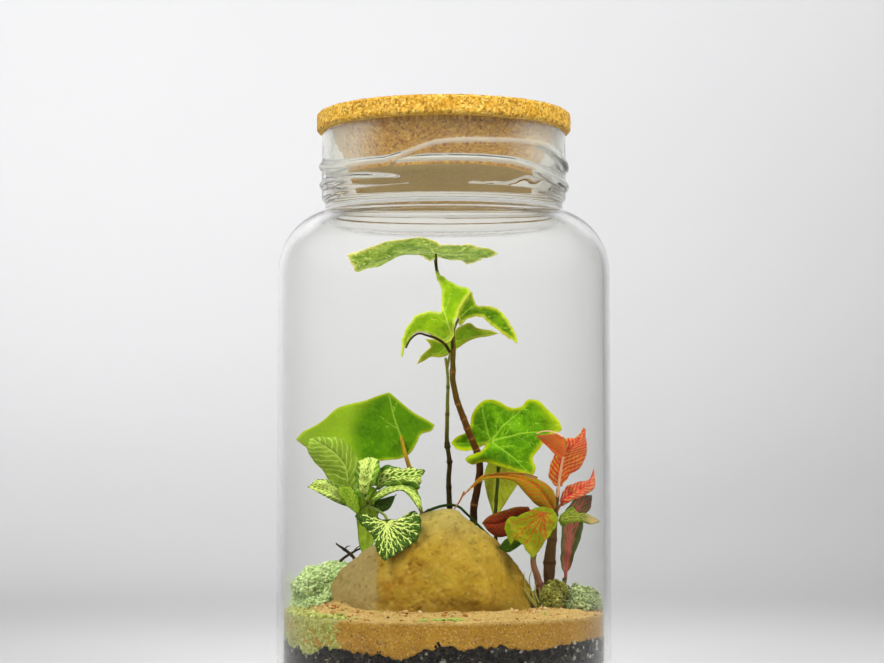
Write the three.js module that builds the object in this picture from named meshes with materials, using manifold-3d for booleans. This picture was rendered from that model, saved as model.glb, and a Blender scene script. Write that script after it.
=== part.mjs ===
// Glass plant terrarium: a wide-mouthed glass jar with a cork lid, holding drainage gravel,
// potting soil, a sand bed, one large stone, moss cushions, an ivy and two nerve plants.
// Millimetres, +Z up, origin at the centre of the underside, front towards -Y.
import * as THREE from 'three';
import { mergeVertices } from 'three/addons/utils/BufferGeometryUtils.js';
import Module from 'manifold-3d';

// ---- driving dimensions ----
const JAR_R = 85;            // outer radius of the straight body
const WALL = 3.5;            // glass wall
const BODY_TOP = 217;        // the straight body ends and the shoulder begins
const SHOULDER_R = 57;       // radius at which the shoulder's ellipse is centred
const SHOULDER_H = 32;       // height of the shoulder
const NECK_R = 62.8;         // outer radius of the neck
const NECK_GROOVE_R = 60.8;  // neck base, below the finish
const MOUTH_R = 57.5;        // clear radius of the mouth
const RIM_Z = 290;           // top of the glass
const FLOOR_Z = 6;           // top of the glass floor
const THREAD_R = 64.2;       // crest of the thread ridges
const LID_R = 65.4;          // cork disc
const LID_TOP = 300;
const PLUG_R = 57.1;         // cork plug in the mouth
const PLUG_FOOT = 49.4;      // its tapered foot
const PLUG_Z = 270.4;        // underside of the plug
const GAP = 0.3;             // clearance kept between neighbouring pieces
const FILL_R = JAR_R - WALL - GAP;
const GRAVEL = [FLOOR_Z + 1.0, 16.2];
const SOIL = [16.5, 32.6];
const SAND = [32.9, 45.8, 46.6];   // underside, height at the glass, height in the middle
const SEG = 48;              // facets round the jar
const LEAF_T = 0.8;          // leaf thickness of these solids

// ---- leaves, stems and stone: control points in millimetres ----
// A broad leaf has an outline and a vein centre (c); a 1 after a point marks a sharp tip.
const FAN_LEAVES = {
  ivy_leaf_top: { c: [-4,5,228.6], flat: true, step: 9.75, color: 0x7c9a28, pts: [[-49.5,-12,226.5,1],[-47.3,-9.5,222.9],[-45.9,-7,220],[-44.4,-4,218.1,1],[-39.9,-1,219.5],[-35.9,1.5,221.3],[-31.9,4,223.4],[-27.3,7,226.3],[-22.2,11,228.7],[-16.1,16,229.6],[-10.9,20,228.3],[-7.2,25,226.4,1],[-4.1,21,227.6],[-0.4,20,228.1],[3.8,19,226.5],[8.5,19,226.6],[13,22,224,1],[16.6,16,225],[19.8,9,226.2],[23.8,3,226.6],[28.5,-4,227.8,1],[23.5,-10,229.3],[18.9,-14,229.9],[13.7,-20,231.5,1],[8.7,-20,230.4],[3.6,-21,230.4],[0.1,-24,230.8],[-3.9,-29,231.8],[-11.4,-35,232.9,1],[-16.9,-32,232.5],[-21.9,-30,232.2],[-28,-27,231.3],[-33.4,-24,230.1],[-38.8,-20,228.7],[-44.5,-16,227.6]] },
  ivy_leaf_mid_left: { c: [3.9,-9,185.6], step: 8.25, color: 0x8fb516, pts: [[1.1,-8,181.6],[-4,-12,184.2],[-9,-16,186],[-13.3,-18,186.8],[-17.5,-21,181.9],[-21.7,-25,172.6,1],[-21.2,-24,179.7],[-19.8,-23,186.3],[-17,-21,191.4],[-13,-19,195.4],[-7,-16,197.1],[-1.9,-12,196.9],[-1.2,-10,203.4],[-1.4,-7,209.3],[-3.2,-4,213.6],[-4.1,-1,218.8,1],[-0.9,-2.5,216.6],[1.6,-3.5,214.4],[4.7,-4.5,212.5],[7.8,-5,210.7],[11.4,-5,209.9],[13.4,-5.5,208.4],[11.3,-9,204],[8.2,-11,199.2],[6.7,-12,194.6],[5.4,-12,190],[4.4,-9,183.1]] },
  ivy_leaf_mid_right: { c: [7.5,-6,194], step: 9, color: 0x9dbd1a, pts: [[6.6,-6,196],[8.3,-5,200.7],[10.8,-3.5,205.2],[14,-0.5,208.4],[15.5,2,204.3],[17.1,3,201.3],[21.7,2,201],[26.2,-2,199.9],[30.2,-6,196.8],[33.7,-10,191.2],[36.3,-14,185.8],[37.5,-18,180.3,1],[33,-14,183.5],[28.1,-10,187.3],[23.6,-6,191.2],[19.3,-3,195],[15.5,-2,195.5],[11.9,-3,193.9],[8,-4,190.8]] },
  ivy_leaf_mid_low: { c: [5.3,7,183], step: 9, color: 0x86a81a, pts: [[6.6,5,189.6],[9.9,4,191.6],[13.5,3,192.5],[16.6,3,190.2],[20.7,2,189.1],[24.2,0,188.5],[28,-3,186.7,1],[22.7,2,185.5],[17.6,4,184.9],[12.5,6,183.2],[7.9,8,180.2],[4.3,10,178],[1.2,12,176],[-3,13,175.3],[-6.6,12,175.5],[-9.7,8,173.5],[-14,4,171.2,1],[-11.8,7,175.7],[-8.7,9,178.7],[-6.9,9,181],[-9.7,7.5,184.5,1],[-5.1,8,184.3],[-0.9,8,183.3],[2.7,7.5,183.5]] },
  ivy_leaf_right: { c: [24.5,16.5,132], step: 9.75, color: 0x6f9c10, pts: [[3.7,26,131.1,1],[6.9,25.5,127.4],[11.6,25,126.1],[15.3,24,127.4],[18.9,21.5,129.1],[21.9,17.2,130.1,1],[19,12.8,126.6],[13.6,12.5,124.2],[11.2,13,122.4],[14.6,14,120],[20.3,14.5,121.4],[27.5,13.5,119.3],[37,11.5,116.4],[46,9.5,113.7,1],[47.6,11,118],[46.2,13,122.9],[50.3,14,128.4],[54.5,14.5,133.8],[61.4,12,137.9,1],[60,15,142.5],[53.8,19,149],[49.9,21,152.9],[44,22,153.4],[40.9,22,150.1],[34.6,23,149.6],[28.7,24.5,153],[22.9,25.5,153.9],[18.5,25.5,151.5],[14.7,25.5,145.7],[13.7,26,140],[11.7,26.5,136.8],[6.4,27,134.3]] },
  ivy_leaf_left: { c: [-22.5,21.5,134.7], step: 12, color: 0x60880a, pts: [[-77.4,10,132.7,1],[-70.4,15,127.6],[-59.1,18,121.4],[-48.8,20,118.8],[-38.4,20.5,120.9],[-31.1,20.5,122],[-23.3,20,122.8],[-17.3,19,125.7],[-13.7,18,131.7],[-11.8,17.5,135.4],[-6.4,15.5,137.3],[-4.7,15,140.3,1],[-8.7,16.5,143],[-16,18.5,147.2],[-23.1,20,152.9],[-28.4,20.5,157.5,1],[-34.3,21,155.8],[-41.7,22,153.1],[-49,22,151.5],[-56.2,21.5,149.1],[-63.4,19,142.7],[-68.9,16,139.3],[-73.9,12.5,136.7]] },
  fittonia_white_leaf_front: { c: [-28.1,-29,91.1], step: 9, color: 0x7f9450, pts: [[-44.2,-22,94.1,1],[-38.9,-23.5,95.2],[-33.3,-27,93.4],[-28.5,-29,92.7],[-23.3,-28,92.9],[-18.9,-26,95.1],[-14.2,-24,96.7],[-11.6,-25,92.7],[-11.4,-28,86.8],[-13.3,-29.5,82.5],[-18.3,-31,78.5],[-23.7,-32,75.2],[-29.2,-33,72.2,1],[-32,-32,75.4],[-33.9,-31,79.9],[-35.1,-29.5,83.7],[-38.2,-27,87.5],[-41.6,-24.5,90.7]] },
  fittonia_red_leaf_front: { c: [49.9,-15,95.5], step: 9, color: 0x9a8020, pts: [[56.4,-12,95.2],[57.5,-14,91.4],[53.8,-16.5,85.5],[50.7,-18.5,81.3],[47.3,-20.5,76.6],[44.1,-22,72.7,1],[41.2,-21,76.7],[38.6,-20,80.4],[35.6,-19,81.9],[33.3,-18,79.8,1],[31.6,-18,83.5],[30.5,-17,88.3],[32.3,-16,92.6],[36.8,-15.5,94.3],[42.4,-15,96.3],[46.7,-14,98],[51.6,-12.5,98.2]] },
};
// A loft leaf runs from its base to its tip between two edges, about a midrib.
const LOFT_LEAVES = {
  ivy_leaf_hanging: { bulge: 0.8, color: 0xa0a83a,
    mid: [[31.1,29.5,123.3],[30.6,31,114.3],[29.1,32.5,104.9],[27,34,91.2]],
    left: [[24.3,30,123.3],[21.4,31.5,114.3],[22.7,33,103.8],[27,34,91.2]],
    right: [[39,29,123.3],[40.6,30.5,113.3],[34.3,32,102.3],[27,34,91.2]] },
  fittonia_white_leaf_tall: { bulge: 1.2, color: 0x86a050,
    mid: [[-48.6,5,102.2],[-49.3,3,109.9],[-50.5,0,118.6],[-54.2,-4,124.2],[-60.3,-8,129],[-67.7,-12,133.5]],
    left: [[-50.6,4,102.2],[-57.4,0,109.9],[-62,-4,117.3],[-66.6,-9,122.6],[-68.9,-12,127.9],[-67.7,-12,133.5]],
    right: [[-47.1,6,103.2],[-44.6,7,111.9],[-44.1,6,120.6],[-47.6,3,128.8],[-56.5,-4,133.6],[-67.7,-12,133.5]] },
  fittonia_white_leaf_outer: { bulge: 1, color: 0x86a050,
    mid: [[-45.4,2,97.1],[-50.4,0,101.5],[-55.9,-4,105.1],[-62.3,-8,108.2],[-68.7,-12,108.5]],
    left: [[-46.5,4,100.2],[-51.5,1,107.3],[-57.4,-3.5,110.8],[-63.2,-9,112.7],[-68.7,-12,108.5]],
    right: [[-46.9,0,97.7],[-53.3,-4,100],[-58.7,-8,102.9],[-63.9,-11,106],[-68.7,-12,108.5]] },
  fittonia_white_leaf_bud: { bulge: 0.8, color: 0x86a050,
    mid: [[-43.6,-4,95.2],[-46.2,-5,100.8],[-48.9,-5.5,105.4],[-54,-5.5,109.4]],
    left: [[-45.2,-4,95.7],[-50.5,-4,100.3],[-53.3,-4.5,104.9],[-54,-5.5,109.4]],
    right: [[-42.6,-5,97.3],[-43.1,-6.5,103.4],[-46.6,-6.5,108.4],[-54,-5.5,109.4]] },
  fittonia_white_leaf_crown: { bulge: 1.4, color: 0x86a050,
    mid: [[-39.4,-8,101.9],[-39.8,-12,108],[-38.7,-14.5,114.6],[-37.8,-13,119.6],[-37.7,-9,123.6]],
    left: [[-41.9,-9,102.9],[-45.2,-12,109.5],[-44.1,-14,116.1],[-41.9,-12,121.4],[-37.7,-9,123.6]],
    right: [[-38.4,-8,103.9],[-35.5,-13,109.3],[-32.4,-15,115.1],[-32.7,-13,120.6],[-37.7,-9,123.6]] },
  fittonia_white_leaf_right: { bulge: 1.5, color: 0x86a050,
    mid: [[-33.9,-7.5,108.5],[-29.8,-10.5,112],[-24.1,-13,113.8],[-18.6,-14,113.8],[-14,-14,114.6],[-9.8,-12,116.6]],
    left: [[-34.9,-6.5,110.5],[-32.7,-6,117.1],[-27.6,-7,119.3],[-20.7,-10,118.1],[-15.1,-12,118.1],[-9.8,-12,116.6]],
    right: [[-32.8,-9,107],[-28,-11.5,108.7],[-22.1,-14,109.5],[-17,-15.5,108.5],[-12.6,-16,107.5],[-9.8,-12,116.6]] },
  fittonia_white_leaf_arch: { bulge: 0.8, color: 0x86a050,
    mid: [[-35.8,-10.5,102.7],[-31.7,-13.5,105.6],[-26.6,-17,107.6],[-21,-19.8,108],[-16.4,-21,105.8],[-13.2,-21,101.1],[-11.3,-20,96.1]],
    left: [[-35.6,-11,104.5],[-31.7,-13,107.5],[-26.6,-16.5,109.1],[-20,-19.3,109.5],[-14.3,-20.3,107.6],[-11.5,-20.3,102.1],[-11.3,-20,96.1]],
    right: [[-35.3,-10.5,100.7],[-30.1,-14.5,103.5],[-24.8,-18,106.2],[-20.8,-20.5,106.7],[-17.4,-21.8,104.1],[-14.3,-21.8,99.9],[-11.3,-20,96.1]] },
  fittonia_white_leaf_low: { bulge: 0.8, color: 0x86a050,
    mid: [[-35.2,-5.5,99.3],[-31.8,-7.5,99.3],[-28.2,-10,100.7],[-24.1,-12.5,104.6]],
    left: [[-34.4,-6.5,101.6],[-30.8,-9,102.7],[-27.2,-11,103.8],[-24.1,-12.5,104.6]],
    right: [[-34.2,-5.5,97],[-31.4,-7,95.8],[-27.2,-9.5,97.9],[-24.1,-12.5,104.6]] },
  fittonia_white_leaf_back: { bulge: -1, color: 0x86a050,
    mid: [[-40.8,0.6,107.9],[-39.2,1,100.2],[-38.8,3,93.5],[-39.6,5,85.3],[-39.9,7,77.6],[-39.7,7.5,72]],
    left: [[-44.1,1.5,107.3],[-44.9,2.6,101.7],[-45,4,94.5],[-44.1,6,84.8],[-43.1,7,77.1],[-39.7,7.5,72]],
    right: [[-36.1,-0.5,108.4],[-32.8,-0.5,102.8],[-32.3,1,97.7],[-33.9,2.5,91.5],[-35.5,4,84.8],[-36.7,6.5,77.6],[-39.7,7.5,72]] },
  fittonia_red_leaf_top: { bulge: 1, color: 0xb86a38,
    mid: [[58.6,0,108.4],[58.8,-2,114.5],[59.4,-4,121.1],[62.2,-5,126.7],[66.9,-4,130.5],[72,1,138.2]],
    left: [[56.5,-1,109.4],[53.5,-2,113.5],[54.4,-3,119.6],[56.6,-4.5,125.2],[58.6,-5,130.3],[62.5,-5,133.1],[67.4,-3,133.3],[72,1,138.2]],
    right: [[60.4,1,109.9],[65.7,3,115.5],[72.4,4,120.6],[73.6,4,127.3],[73.3,3,132.6],[72,1,138.2]] },
  fittonia_red_leaf_upper: { bulge: 0.7, color: 0xb86a38,
    mid: [[60.4,-9.5,123.6],[56.5,-7,126.7],[52.7,-1,130.6],[47.1,4,134.5]],
    left: [[61.9,-10,126.2],[60.8,-7.5,133.8],[54.8,-1,135.4],[47.1,4,134.5]],
    right: [[59.4,-9.5,122.4],[55.5,-7,125.9],[51.2,-1,130.6],[47.1,4,134.5]] },
  fittonia_red_leaf_mid: { bulge: 0.8, color: 0xb86a38,
    mid: [[60,3.5,99.7],[62.6,3.5,103.2],[68.2,2,106.3],[73.5,1,109.9],[77.9,4,118.3]],
    left: [[60.1,4.5,102.2],[62.7,5,108.1],[69.3,4,110.9],[75.2,3,112.2],[77.9,4,118.3]],
    right: [[60.5,3,98.4],[65.8,1,101.5],[71.9,0,104.1],[77.4,0,108.1],[77.9,4,118.3]] },
  fittonia_red_leaf_long: { bulge: 1, color: 0xb86a38,
    mid: [[55.5,-4,96.7],[51.8,-8,102.9],[47.1,-11,108.5],[39.5,-13,112.5],[30.4,-14,114.1],[20.8,-15,113.1],[8.6,-16,103.3]],
    left: [[57.1,-3.5,99.3],[55.7,-6,106.4],[49.2,-9,111.5],[41,-12,114.9],[30.9,-13.5,115.3],[19.7,-15,114.4],[8.6,-16,103.3]],
    right: [[53.4,-5,96.3],[47.2,-9,99.1],[41.3,-12,105],[34.9,-14,111.3],[29.3,-15,112.7],[20.2,-15.5,112.2],[8.6,-16,103.3]] },
  fittonia_red_leaf_side: { bulge: 0.7, color: 0xb86a38,
    mid: [[58,-10,91.8],[62.2,-11,93.4],[67.2,-12.5,93.7],[72.6,-14,92.7],[78.3,-15,91.2]],
    left: [[59.3,-9.5,94.8],[64.6,-9.5,98.5],[67.8,-11.5,95.6],[72.9,-13.5,94.8],[78.3,-15,91.2]],
    right: [[59.2,-11,88.6],[63.7,-12,90.4],[68.6,-13.5,91],[73.6,-15,89.8],[78.3,-15,91.2]] },
  fittonia_red_leaf_dark: { bulge: 0.9, color: 0xb86a38,
    mid: [[45.4,-2,95.7],[38.3,-1,93.4],[31.2,-1,90.8],[25.1,-2,89.6],[19.3,-3,90.1]],
    left: [[42.9,-3,98.6],[35.8,-2,98],[28.6,-2,95.7],[23,-2.5,93.9],[19.3,-3,90.1]],
    right: [[43.4,-1.5,91.6],[34.8,0,84.7],[28.2,0,82.7],[22.8,-1.5,85.8],[19.3,-3,90.1]] },
  fittonia_red_leaf_under: { bulge: 0.5, color: 0xb86a38,
    mid: [[41.6,-9.5,82.2],[36.4,-11,80.5],[32.4,-12.5,79.1],[27.5,-14,77.9]],
    left: [[40,-9.5,84.3],[35.4,-11,83.3],[30.8,-12.5,82.1],[27.5,-14,77.9]],
    right: [[39,-9.5,79.2],[35.7,-11,77.3],[32.1,-12.5,75.6],[27.5,-14,77.9]] },
  fittonia_red_leaf_back: { bulge: -1, color: 0xb86a38,
    mid: [[63.1,14,61.4],[64.2,15.5,70.6],[65.4,17,80.8],[67.3,18,90.6],[71.7,17,98.4],[77.6,13,104.1]],
    left: [[61.8,14,64],[60.9,15.5,74.2],[61.2,17,84.4],[62.9,18,94.2],[69.6,17,102.8],[77.6,13,104.1]],
    right: [[64.1,14.5,63.4],[68.3,15,74.2],[72,15.5,84],[73.3,15.5,91.7],[76.9,14,99],[77.6,13,104.1]] },
};
// Stems run from the root upwards: points and radius.
const STEMS = {
  ivy_stem_main: { r: 1.45, color: 0x6d5c28, pts: [[12,36,24],[12,36,45],[13.5,35,65],[15.4,33,79.2],[15.6,31,90.8],[16.1,29,98.7],[17.4,27,106.5],[18.9,25,117],[18.1,21,123.8],[16.6,17.2,127.9],[13.1,13.5,136.1],[10.2,10,143.8],[6.9,5.5,152.5],[4.7,1.5,162.6],[4.6,-2,170.7],[4.7,-3.2,178.3],[4.5,-1.5,186.1],[3.5,2,196.6],[1.4,4,206],[-1.4,5,213.9],[-3.8,6,220.2],[-4.3,7,225.5]] },
  ivy_stem_side: { r: 1.3, color: 0x6d5c28, pts: [[3.5,37,24],[3.5,36.5,45],[3.2,35.5,68],[3,34,85.5],[3,32,98.6],[2.6,29,112.8],[3,27,122.2],[1.7,25,131.6],[1.9,21,149.3],[2.2,18,160.1],[1.8,15.5,168.4],[0.9,13.5,174.8]] },
  ivy_petiole_right: { r: 0.9, color: 0x6f8030, pts: [[25,36,24],[25.5,35.5,45],[26.8,34.5,66],[27.5,33,83.4],[27.1,28.5,95],[27.8,26,103.9],[28.3,24.5,111.8],[28.3,23.5,119.1],[27.2,21.5,124.8],[25,18.8,130.5]] },
  ivy_petiole_left: { r: 0.9, color: 0x6f8030, pts: [[-7.5,35,24],[-8,34,45],[-9,31,68],[-10.3,26,88.8],[-12.4,24.5,97.7],[-15,23,107.6],[-16.9,21.3,114.9],[-18.5,18,120.1],[-19.7,16.6,124.3],[-21,17,128.9],[-22.2,17.6,133.3]] },
  ivy_runner: { r: 0.68, color: 0x6f8030, pts: [[-17,34,24],[-17,33,50],[-16.5,29,76],[-15,19,89],[-13.3,10,92.6],[-9.2,12,95.4],[-4.5,14,97.4],[1.7,15,98.9],[7.4,15,98.2],[12,14,94.3],[18.2,13,88.4],[23.8,12,82.8],[29,11,77.4],[33,10,72.4]] },
  fittonia_white_stem: { r: 1.3, color: 0x6f8030, pts: [[-42,23,24],[-42,20.5,42],[-41,16.5,56],[-39.6,14,67.6],[-40.1,13,78.4],[-40.6,11,88.7],[-40,8,97.5],[-39.1,3.5,103.2]] },
  fittonia_white_petiole: { r: 0.7, color: 0x6f8030, pts: [[-39.1,-2,99.2],[-35.9,-9,97.9],[-32.1,-17,96.3],[-28.9,-24,93.9],[-28.1,-27.5,92.3]] },
  fittonia_red_stem: { r: 1.8, color: 0x9a7a50, pts: [[53,6,24],[53,5.5,38],[53,5,47.6],[53.6,5,55.8],[54,5,65.9],[54.9,4.5,77.2],[56.4,3.5,87.4],[57.4,2.5,95.6],[58.1,1.5,103.3],[58.6,1,107.9]] },
  fittonia_red_stem_front: { r: 1.2, color: 0x9a7a50, pts: [[49.5,3,24],[49.6,1,40],[49.4,-1,51.1],[48.9,-3,57.2],[47.1,-6,64],[45.1,-8,71.1],[46.4,-9,78.7],[49.7,-9.3,86.8],[53.2,-9,93.8]] },
  fittonia_red_stem_back: { r: 1.3, color: 0x9a7a50, pts: [[60.5,12,24],[60.6,12,38],[60.8,12,48.2],[61.9,13,55.3],[62.8,13.5,61.4]] },
  twig_long: { r: 0.8, color: 0x4a3a28, pts: [[-55.9,14,79.1],[-52,13,76.6],[-48.3,12,73.8],[-44.7,11,70.3]] },
  twig_short: { r: 0.7, color: 0x4a3a28, pts: [[-43.3,16,76.5],[-47,16,74.7],[-50.6,16,72.6],[-53.7,16,70]] },
};
// The stone's outline seen from the front, about its middle.
const STONE_C = [-5.5, -2, 63.8];
const STONE_OUT = [[-57.4,58.7],[-55.3,63.8],[-50.3,68.8],[-44.2,73.9],[-37.1,78.4],[-27.4,85],[-19.8,90.6],[-13.1,93.7],[-6,96.5],[1.6,97.7],[6.7,97],[11.3,93.7],[17.9,88.1],[23.5,82.5],[28.6,78.4],[34.2,73.9],[38.8,67.8],[42.3,61.2],[45.3,55.2],[46.9,51.1],[45.8,47.1],[38,38],[15,33],[-15,33],[-44,38],[-55,48]];
const STONE_FRONT = 33, STONE_BACK = 26, STONE_BOTTOM = 37;

const wasm = await Module();
wasm.setup();
const group = new THREE.Group();
const V = (a) => new THREE.Vector3(a[0], a[1], a[2]);

function clean(geo) {              // positions only, shared vertices, no empty triangles
  let g = geo.index ? geo.toNonIndexed() : geo.clone();
  g.deleteAttribute('normal'); g.deleteAttribute('uv');
  g = mergeVertices(g, 2e-4);
  const ix = g.index.array, out = [];
  for (let i = 0; i < ix.length; i += 3) {
    const [a, b, c] = [ix[i], ix[i + 1], ix[i + 2]];
    if (a !== b && b !== c && a !== c) out.push(a, b, c);
  }
  g.setIndex(out);
  return g;
}
function volume(g) {
  const p = g.attributes.position, ix = g.index.array; let v = 0;
  const a = new THREE.Vector3(), b = new THREE.Vector3(), c = new THREE.Vector3();
  for (let i = 0; i < ix.length; i += 3) {
    a.fromBufferAttribute(p, ix[i]); b.fromBufferAttribute(p, ix[i + 1]); c.fromBufferAttribute(p, ix[i + 2]);
    v += a.dot(b.cross(c)) / 6;
  }
  return v;
}
function outward(g) {
  if (volume(g) < 0) { const ix = Array.from(g.index.array); for (let i = 0; i < ix.length; i += 3) { const t = ix[i]; ix[i] = ix[i + 1]; ix[i + 1] = t; } g.setIndex(ix); }
  return g;
}
function solid(geo) {
  const g = outward(clean(geo));
  return new wasm.Manifold(new wasm.Mesh({ numProp: 3, vertProperties: new Float32Array(g.attributes.position.array), triVerts: new Uint32Array(g.index.array) }));
}
function back(man) {               // the largest body of a cut piece, as a geometry
  const parts = man.decompose().sort((a, b) => b.volume() - a.volume());
  const m = parts[0].simplify(0.06).getMesh();
  const g = new THREE.BufferGeometry();
  const pos = []; for (let i = 0; i < m.numVert; i++) pos.push(m.vertProperties[i * m.numProp], m.vertProperties[i * m.numProp + 1], m.vertProperties[i * m.numProp + 2]);
  g.setAttribute('position', new THREE.Float32BufferAttribute(pos, 3));
  g.setIndex(Array.from(m.triVerts));
  return g;
}
function add(name, geo, color, roughness = 0.8, metalness = 0, extra = {}) {
  const g = outward(clean(geo)); g.computeVertexNormals();
  const mesh = new THREE.Mesh(g, new THREE.MeshStandardMaterial({ color, roughness, metalness, ...extra }));
  mesh.name = name; group.add(mesh); return mesh;
}
function lathe(profile, seg = SEG) {
  const g = new THREE.LatheGeometry(profile.map((p) => new THREE.Vector2(p[0], p[1])), seg);
  g.rotateX(Math.PI / 2); return g;
}
// gentle repeatable unevenness
function bump(x, y, z, k) { return Math.sin(x * k + 1.3) * Math.cos(y * k * 1.27 + 0.4) + 0.6 * Math.sin((z + x * 0.6 - y * 0.4) * k * 1.9 + 2.1); }

// ---- glass jar ----
const oval = (t, a, b) => [SHOULDER_R + a * Math.cos(t * Math.PI / 180), BODY_TOP + b * Math.sin(t * Math.PI / 180)];
const outerA = JAR_R - SHOULDER_R, innerA = outerA - WALL;
const jarProfile = [
  [0, 2.2], [56, 1.2], [60, 0], [76, 0], [81, 1.6], [84, 5], [JAR_R, 10], [JAR_R, BODY_TOP],
  ...[15, 30, 45, 60, 72, 80].map((t) => oval(t, outerA, SHOULDER_H)),
  [NECK_GROOVE_R, 250.5], [NECK_GROOVE_R, 256.5], [NECK_R, 258], [NECK_R, 261], [THREAD_R, 263.6], [NECK_R, 266.2],
  [NECK_R, 268.7], [THREAD_R, 271.3], [NECK_R, 273.9], [NECK_R, 288.6], [NECK_R - 1.2, RIM_Z], [MOUTH_R + 1.1, RIM_Z], [MOUTH_R, 288.8],
  [MOUTH_R, 252], [MOUTH_R + 0.8, 247.5],
  ...[80, 60, 45, 30, 15].map((t) => oval(t, innerA, SHOULDER_H - WALL - 0.5)),
  [JAR_R - WALL, BODY_TOP], [JAR_R - WALL, 13], [80, 8.5], [75.5, FLOOR_Z], [0, FLOOR_Z + 0.6],
];
add('glass_jar', lathe(jarProfile), 0xdfe8e2, 0.05, 0, { transparent: true, opacity: 0.3 });
add('cork_lid', lathe([[0, PLUG_Z], [PLUG_FOOT - 1.2, PLUG_Z], [PLUG_FOOT, PLUG_Z + 1.2], [PLUG_R, RIM_Z - 2.5], [PLUG_R, RIM_Z + GAP], [LID_R - 1.6, RIM_Z + GAP], [LID_R, RIM_Z + 1.9], [LID_R, LID_TOP - 1.6], [LID_R - 1.6, LID_TOP], [0, LID_TOP]]), 0xdfb25a, 0.9);

// ---- stems (built first: the bed is cut round them) ----
const cutters = [];
for (const [name, s] of Object.entries(STEMS)) {
  const path = new THREE.CatmullRomCurve3(s.pts.map(V), false, 'centripetal');
  const steps = Math.max(6, Math.min(30, Math.round(path.getLength() / (s.r * 4.5))));
  const ring = (r) => { const sh = new THREE.Shape(); for (let i = 0; i < 7; i++) { const a = i / 7 * Math.PI * 2; if (i) sh.lineTo(r * Math.cos(a), r * Math.sin(a)); else sh.moveTo(r * Math.cos(a), r * Math.sin(a)); } sh.closePath(); return sh; };
  const tube = (r) => new THREE.ExtrudeGeometry(ring(r), { steps, bevelEnabled: false, extrudePath: path });
  add(name, tube(s.r), s.color, 0.75);
  cutters.push(solid(tube(s.r + GAP + 0.15)).add(solid(new THREE.SphereGeometry(s.r + 0.7, 8, 6).translate(...s.pts[0]))));
}

// ---- leaves ----
function thicken(P, T, t) {        // an open sheet becomes a closed leaf
  const n = P.map(() => new THREE.Vector3());
  for (const [a, b, c] of T) { const f = new THREE.Vector3().subVectors(P[b], P[a]).cross(new THREE.Vector3().subVectors(P[c], P[a])); n[a].add(f); n[b].add(f); n[c].add(f); }
  n.forEach((v) => v.normalize());
  const N = P.length, pos = [], ix = [], edge = new Map();
  for (const s of [0.5, -0.5]) P.forEach((p, i) => { const q = p.clone().addScaledVector(n[i], s * t); pos.push(q.x, q.y, q.z); });
  for (const [a, b, c] of T) {
    ix.push(a, b, c, a + N, c + N, b + N);
    for (const [u, v] of [[a, b], [b, c], [c, a]]) { const k = v + '_' + u; if (edge.has(k)) edge.delete(k); else edge.set(u + '_' + v, [u, v]); }
  }
  for (const [u, v] of edge.values()) ix.push(v, u, u + N, v, u + N, v + N);
  const g = new THREE.BufferGeometry();
  g.setAttribute('position', new THREE.Float32BufferAttribute(pos, 3)); g.setIndex(ix);
  return g;
}
function weld(P, T) {
  const Q = [], map = P.map((p) => { let i = Q.findIndex((q) => q.distanceTo(p) < 0.02); if (i < 0) { Q.push(p); i = Q.length - 1; } return i; });
  return [Q, T.map((t) => t.map((i) => map[i])).filter(([a, b, c]) => a !== b && b !== c && a !== c)];
}
function outline(pts, step) {      // smooth between sharp tips
  const n = pts.length, first = Math.max(0, pts.findIndex((p) => p[3])), runs = [];
  let run = [pts[first]];
  for (let i = 1; i <= n; i++) { const p = pts[(first + i) % n]; run.push(p); if (p[3] || i === n) { runs.push(run); run = [p]; } }
  const out = [];
  for (const r of runs) {
    const c = new THREE.CatmullRomCurve3(r.map(V), false, 'centripetal'), k = Math.max(2, Math.round(c.getLength() / step));
    for (let i = 0; i < k; i++) out.push(c.getPointAt(i / k));
  }
  return out;
}
// a smooth height over a plane through scattered points: thin-plate interpolation
function plate(pts) {
  const n = pts.length, N = n + 3, A = Array.from({ length: N }, () => new Array(N + 1).fill(0));
  const f = (r) => (r < 1e-9 ? 0 : r * r * Math.log(r));
  for (let i = 0; i < n; i++) {
    for (let j = 0; j < n; j++) A[i][j] = f(Math.hypot(pts[i][0] - pts[j][0], pts[i][1] - pts[j][1])) + (i === j ? 2 : 0);
    A[i][n] = A[n][i] = 1; A[i][n + 1] = A[n + 1][i] = pts[i][0]; A[i][n + 2] = A[n + 2][i] = pts[i][1]; A[i][N] = pts[i][2];
  }
  for (let c = 0; c < N; c++) {
    let p = c; for (let r = c + 1; r < N; r++) if (Math.abs(A[r][c]) > Math.abs(A[p][c])) p = r;
    [A[c], A[p]] = [A[p], A[c]];
    for (let r = 0; r < N; r++) if (r !== c) { const k = A[r][c] / A[c][c]; if (k) for (let q = c; q <= N; q++) A[r][q] -= k * A[c][q]; }
  }
  const w = A.map((row, i) => row[N] / row[i]);
  return (x, y) => { let h = w[n] + w[n + 1] * x + w[n + 2] * y; for (let i = 0; i < n; i++) h += w[i] * f(Math.hypot(x - pts[i][0], y - pts[i][1])); return h; };
}
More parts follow.
